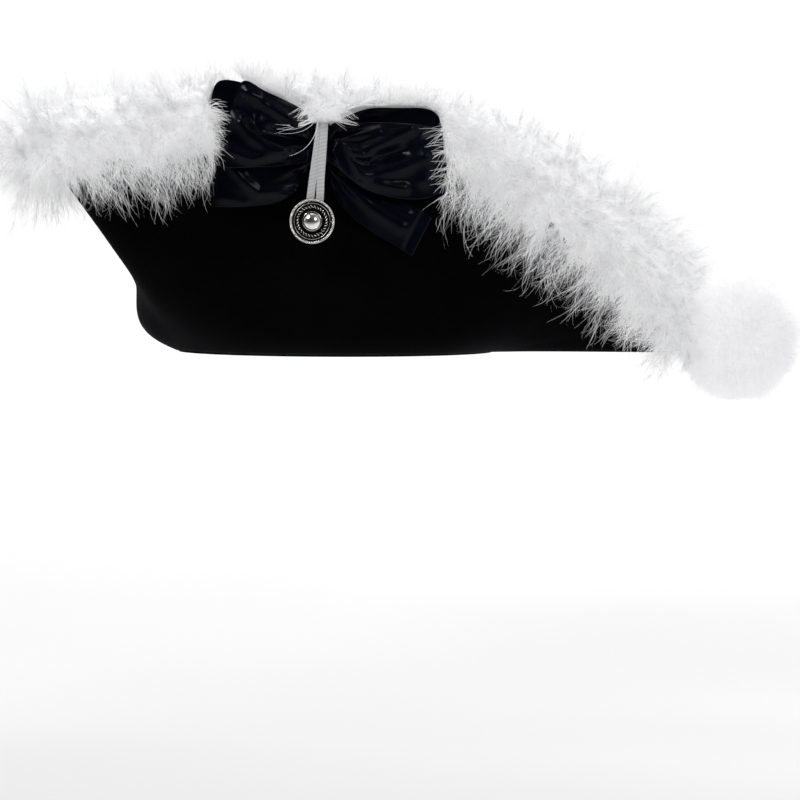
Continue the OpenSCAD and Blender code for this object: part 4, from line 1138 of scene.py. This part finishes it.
inw = np.stack([-np.cos(sa_), -np.sin(sa_), np.zeros(720)], 1)
stitches("sweatband_lower_stitches", band_line(2.6 / CROWN_H, 3.45), inw, 2.6, 1.0, 0.24, M["thread"])
stitches("sweatband_upper_stitches", band_line(28.5 / CROWN_H, 3.5), inw, 2.6, 1.0, 0.24, M["thread"])
stitches("crown_seam_stitches", band_line(0.845, 0.0), -inw, 2.8, 1.2, 0.22, M["thread"])
ss_ = np.linspace(0, 30, 1400, endpoint=False)
stitches("hem_stitches", brim_pt(ss_, np.full(1400, 0.962), np.full(1400, -0.95)), -face_n(ss_, np.full(1400, 0.962)), 3.0, 2.2, 0.24, M["thread"], slant=0.6)

# ---------------------------------------------------------------- soft goods: each satin sheet's flat length from its area and width, printed
def half_area(o):
    return area_of(o) / 2


for o, w, held, rests in ((left_loop, 0.054, "gathered", "bow_knot_satin"), (right_loop, 0.054, "gathered", "bow_knot_satin"),
                          (left_tail, 0.030, "gathered", "bow_knot_satin"), (right_tail, 0.030, "gathered", "bow_knot_satin")):
    print("flat", o.name, w, round(half_area(o) / w, 3))

# ---------------------------------------------------------------- CAD pieces that stay: thread, wire, foam
for node, mat in {"brim_stiffener": "foam", "brim_wire": "wire", "brim_tacks": "thread", "boa_cord": "white_thread",
                  "bow_stitch": "thread", "ribbon_stitch": "white_thread", "button_shank": "silver",
                  "tip_stitch": "thread", "pompom_link": "white_thread", "pompom_thread": "white_thread"}.items():
    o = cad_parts[node]
    o.data.materials.clear()
    o.data.materials.append(M[mat])

# ---------------------------------------------------------------- floor
fv, ff = [], None
prof = [(-2.6, -0.235), (1.6, -0.235)] + [(1.6 + 1.2 * math.sin(t), -0.235 + 1.2 * (1 - math.cos(t))) for t in np.linspace(0.05, math.pi / 2, 24)] + [(2.8, 3.5)]
for x in (-4, 4):
    for y, z in prof:
        fv.append((x * math.cos(AZ) - y * math.sin(AZ), x * math.sin(AZ) + y * math.cos(AZ), z))
n = len(prof)
me = bpy.data.meshes.new("floor")
me.from_pydata(fv, [], [(k, n + k, n + k + 1, k + 1) for k in range(n - 1)])
for p in me.polygons:
    p.use_smooth = True
m_, nt_, b_ = new_mat("glowing_floor")
nv = coords(nt_)
nt_.links.new(ramp(nt_, noise(nt_, nv, 3, 3), [(0.3, (0.21, 0.21, 0.212)), (0.7, (0.225, 0.225, 0.225))]), b_.inputs["Base Color"])
setv(b_, rough=0.9, spec=0.1, emit_color=(1, 1, 1))
fy = nt_.nodes.new("ShaderNodeSeparateXYZ")
nt_.links.new(nv, fy.inputs["Vector"])
# painted light: the floor glows, from none at the front to bright towards the back wall, so it reads white behind the
# hat and dark where the satin reflects it
glow = ramp(nt_, to_range(nt_, fy.outputs["Y"], 0.0, 1.0, -1.0, 2.0), [(0.02, (0, 0, 0)), (0.2, (0.6, 0.6, 0.6)), (0.3, (0.7, 0.7, 0.7)), (0.5, (0.74, 0.74, 0.74)), (0.93, (0.92, 0.92, 0.92))])
nt_.links.new(glow, b_.inputs["Emission Strength"])
me.materials.append(m_)
floor = bpy.data.objects.new("floor", me)
scene.collection.objects.link(floor)

print("frame parts made")
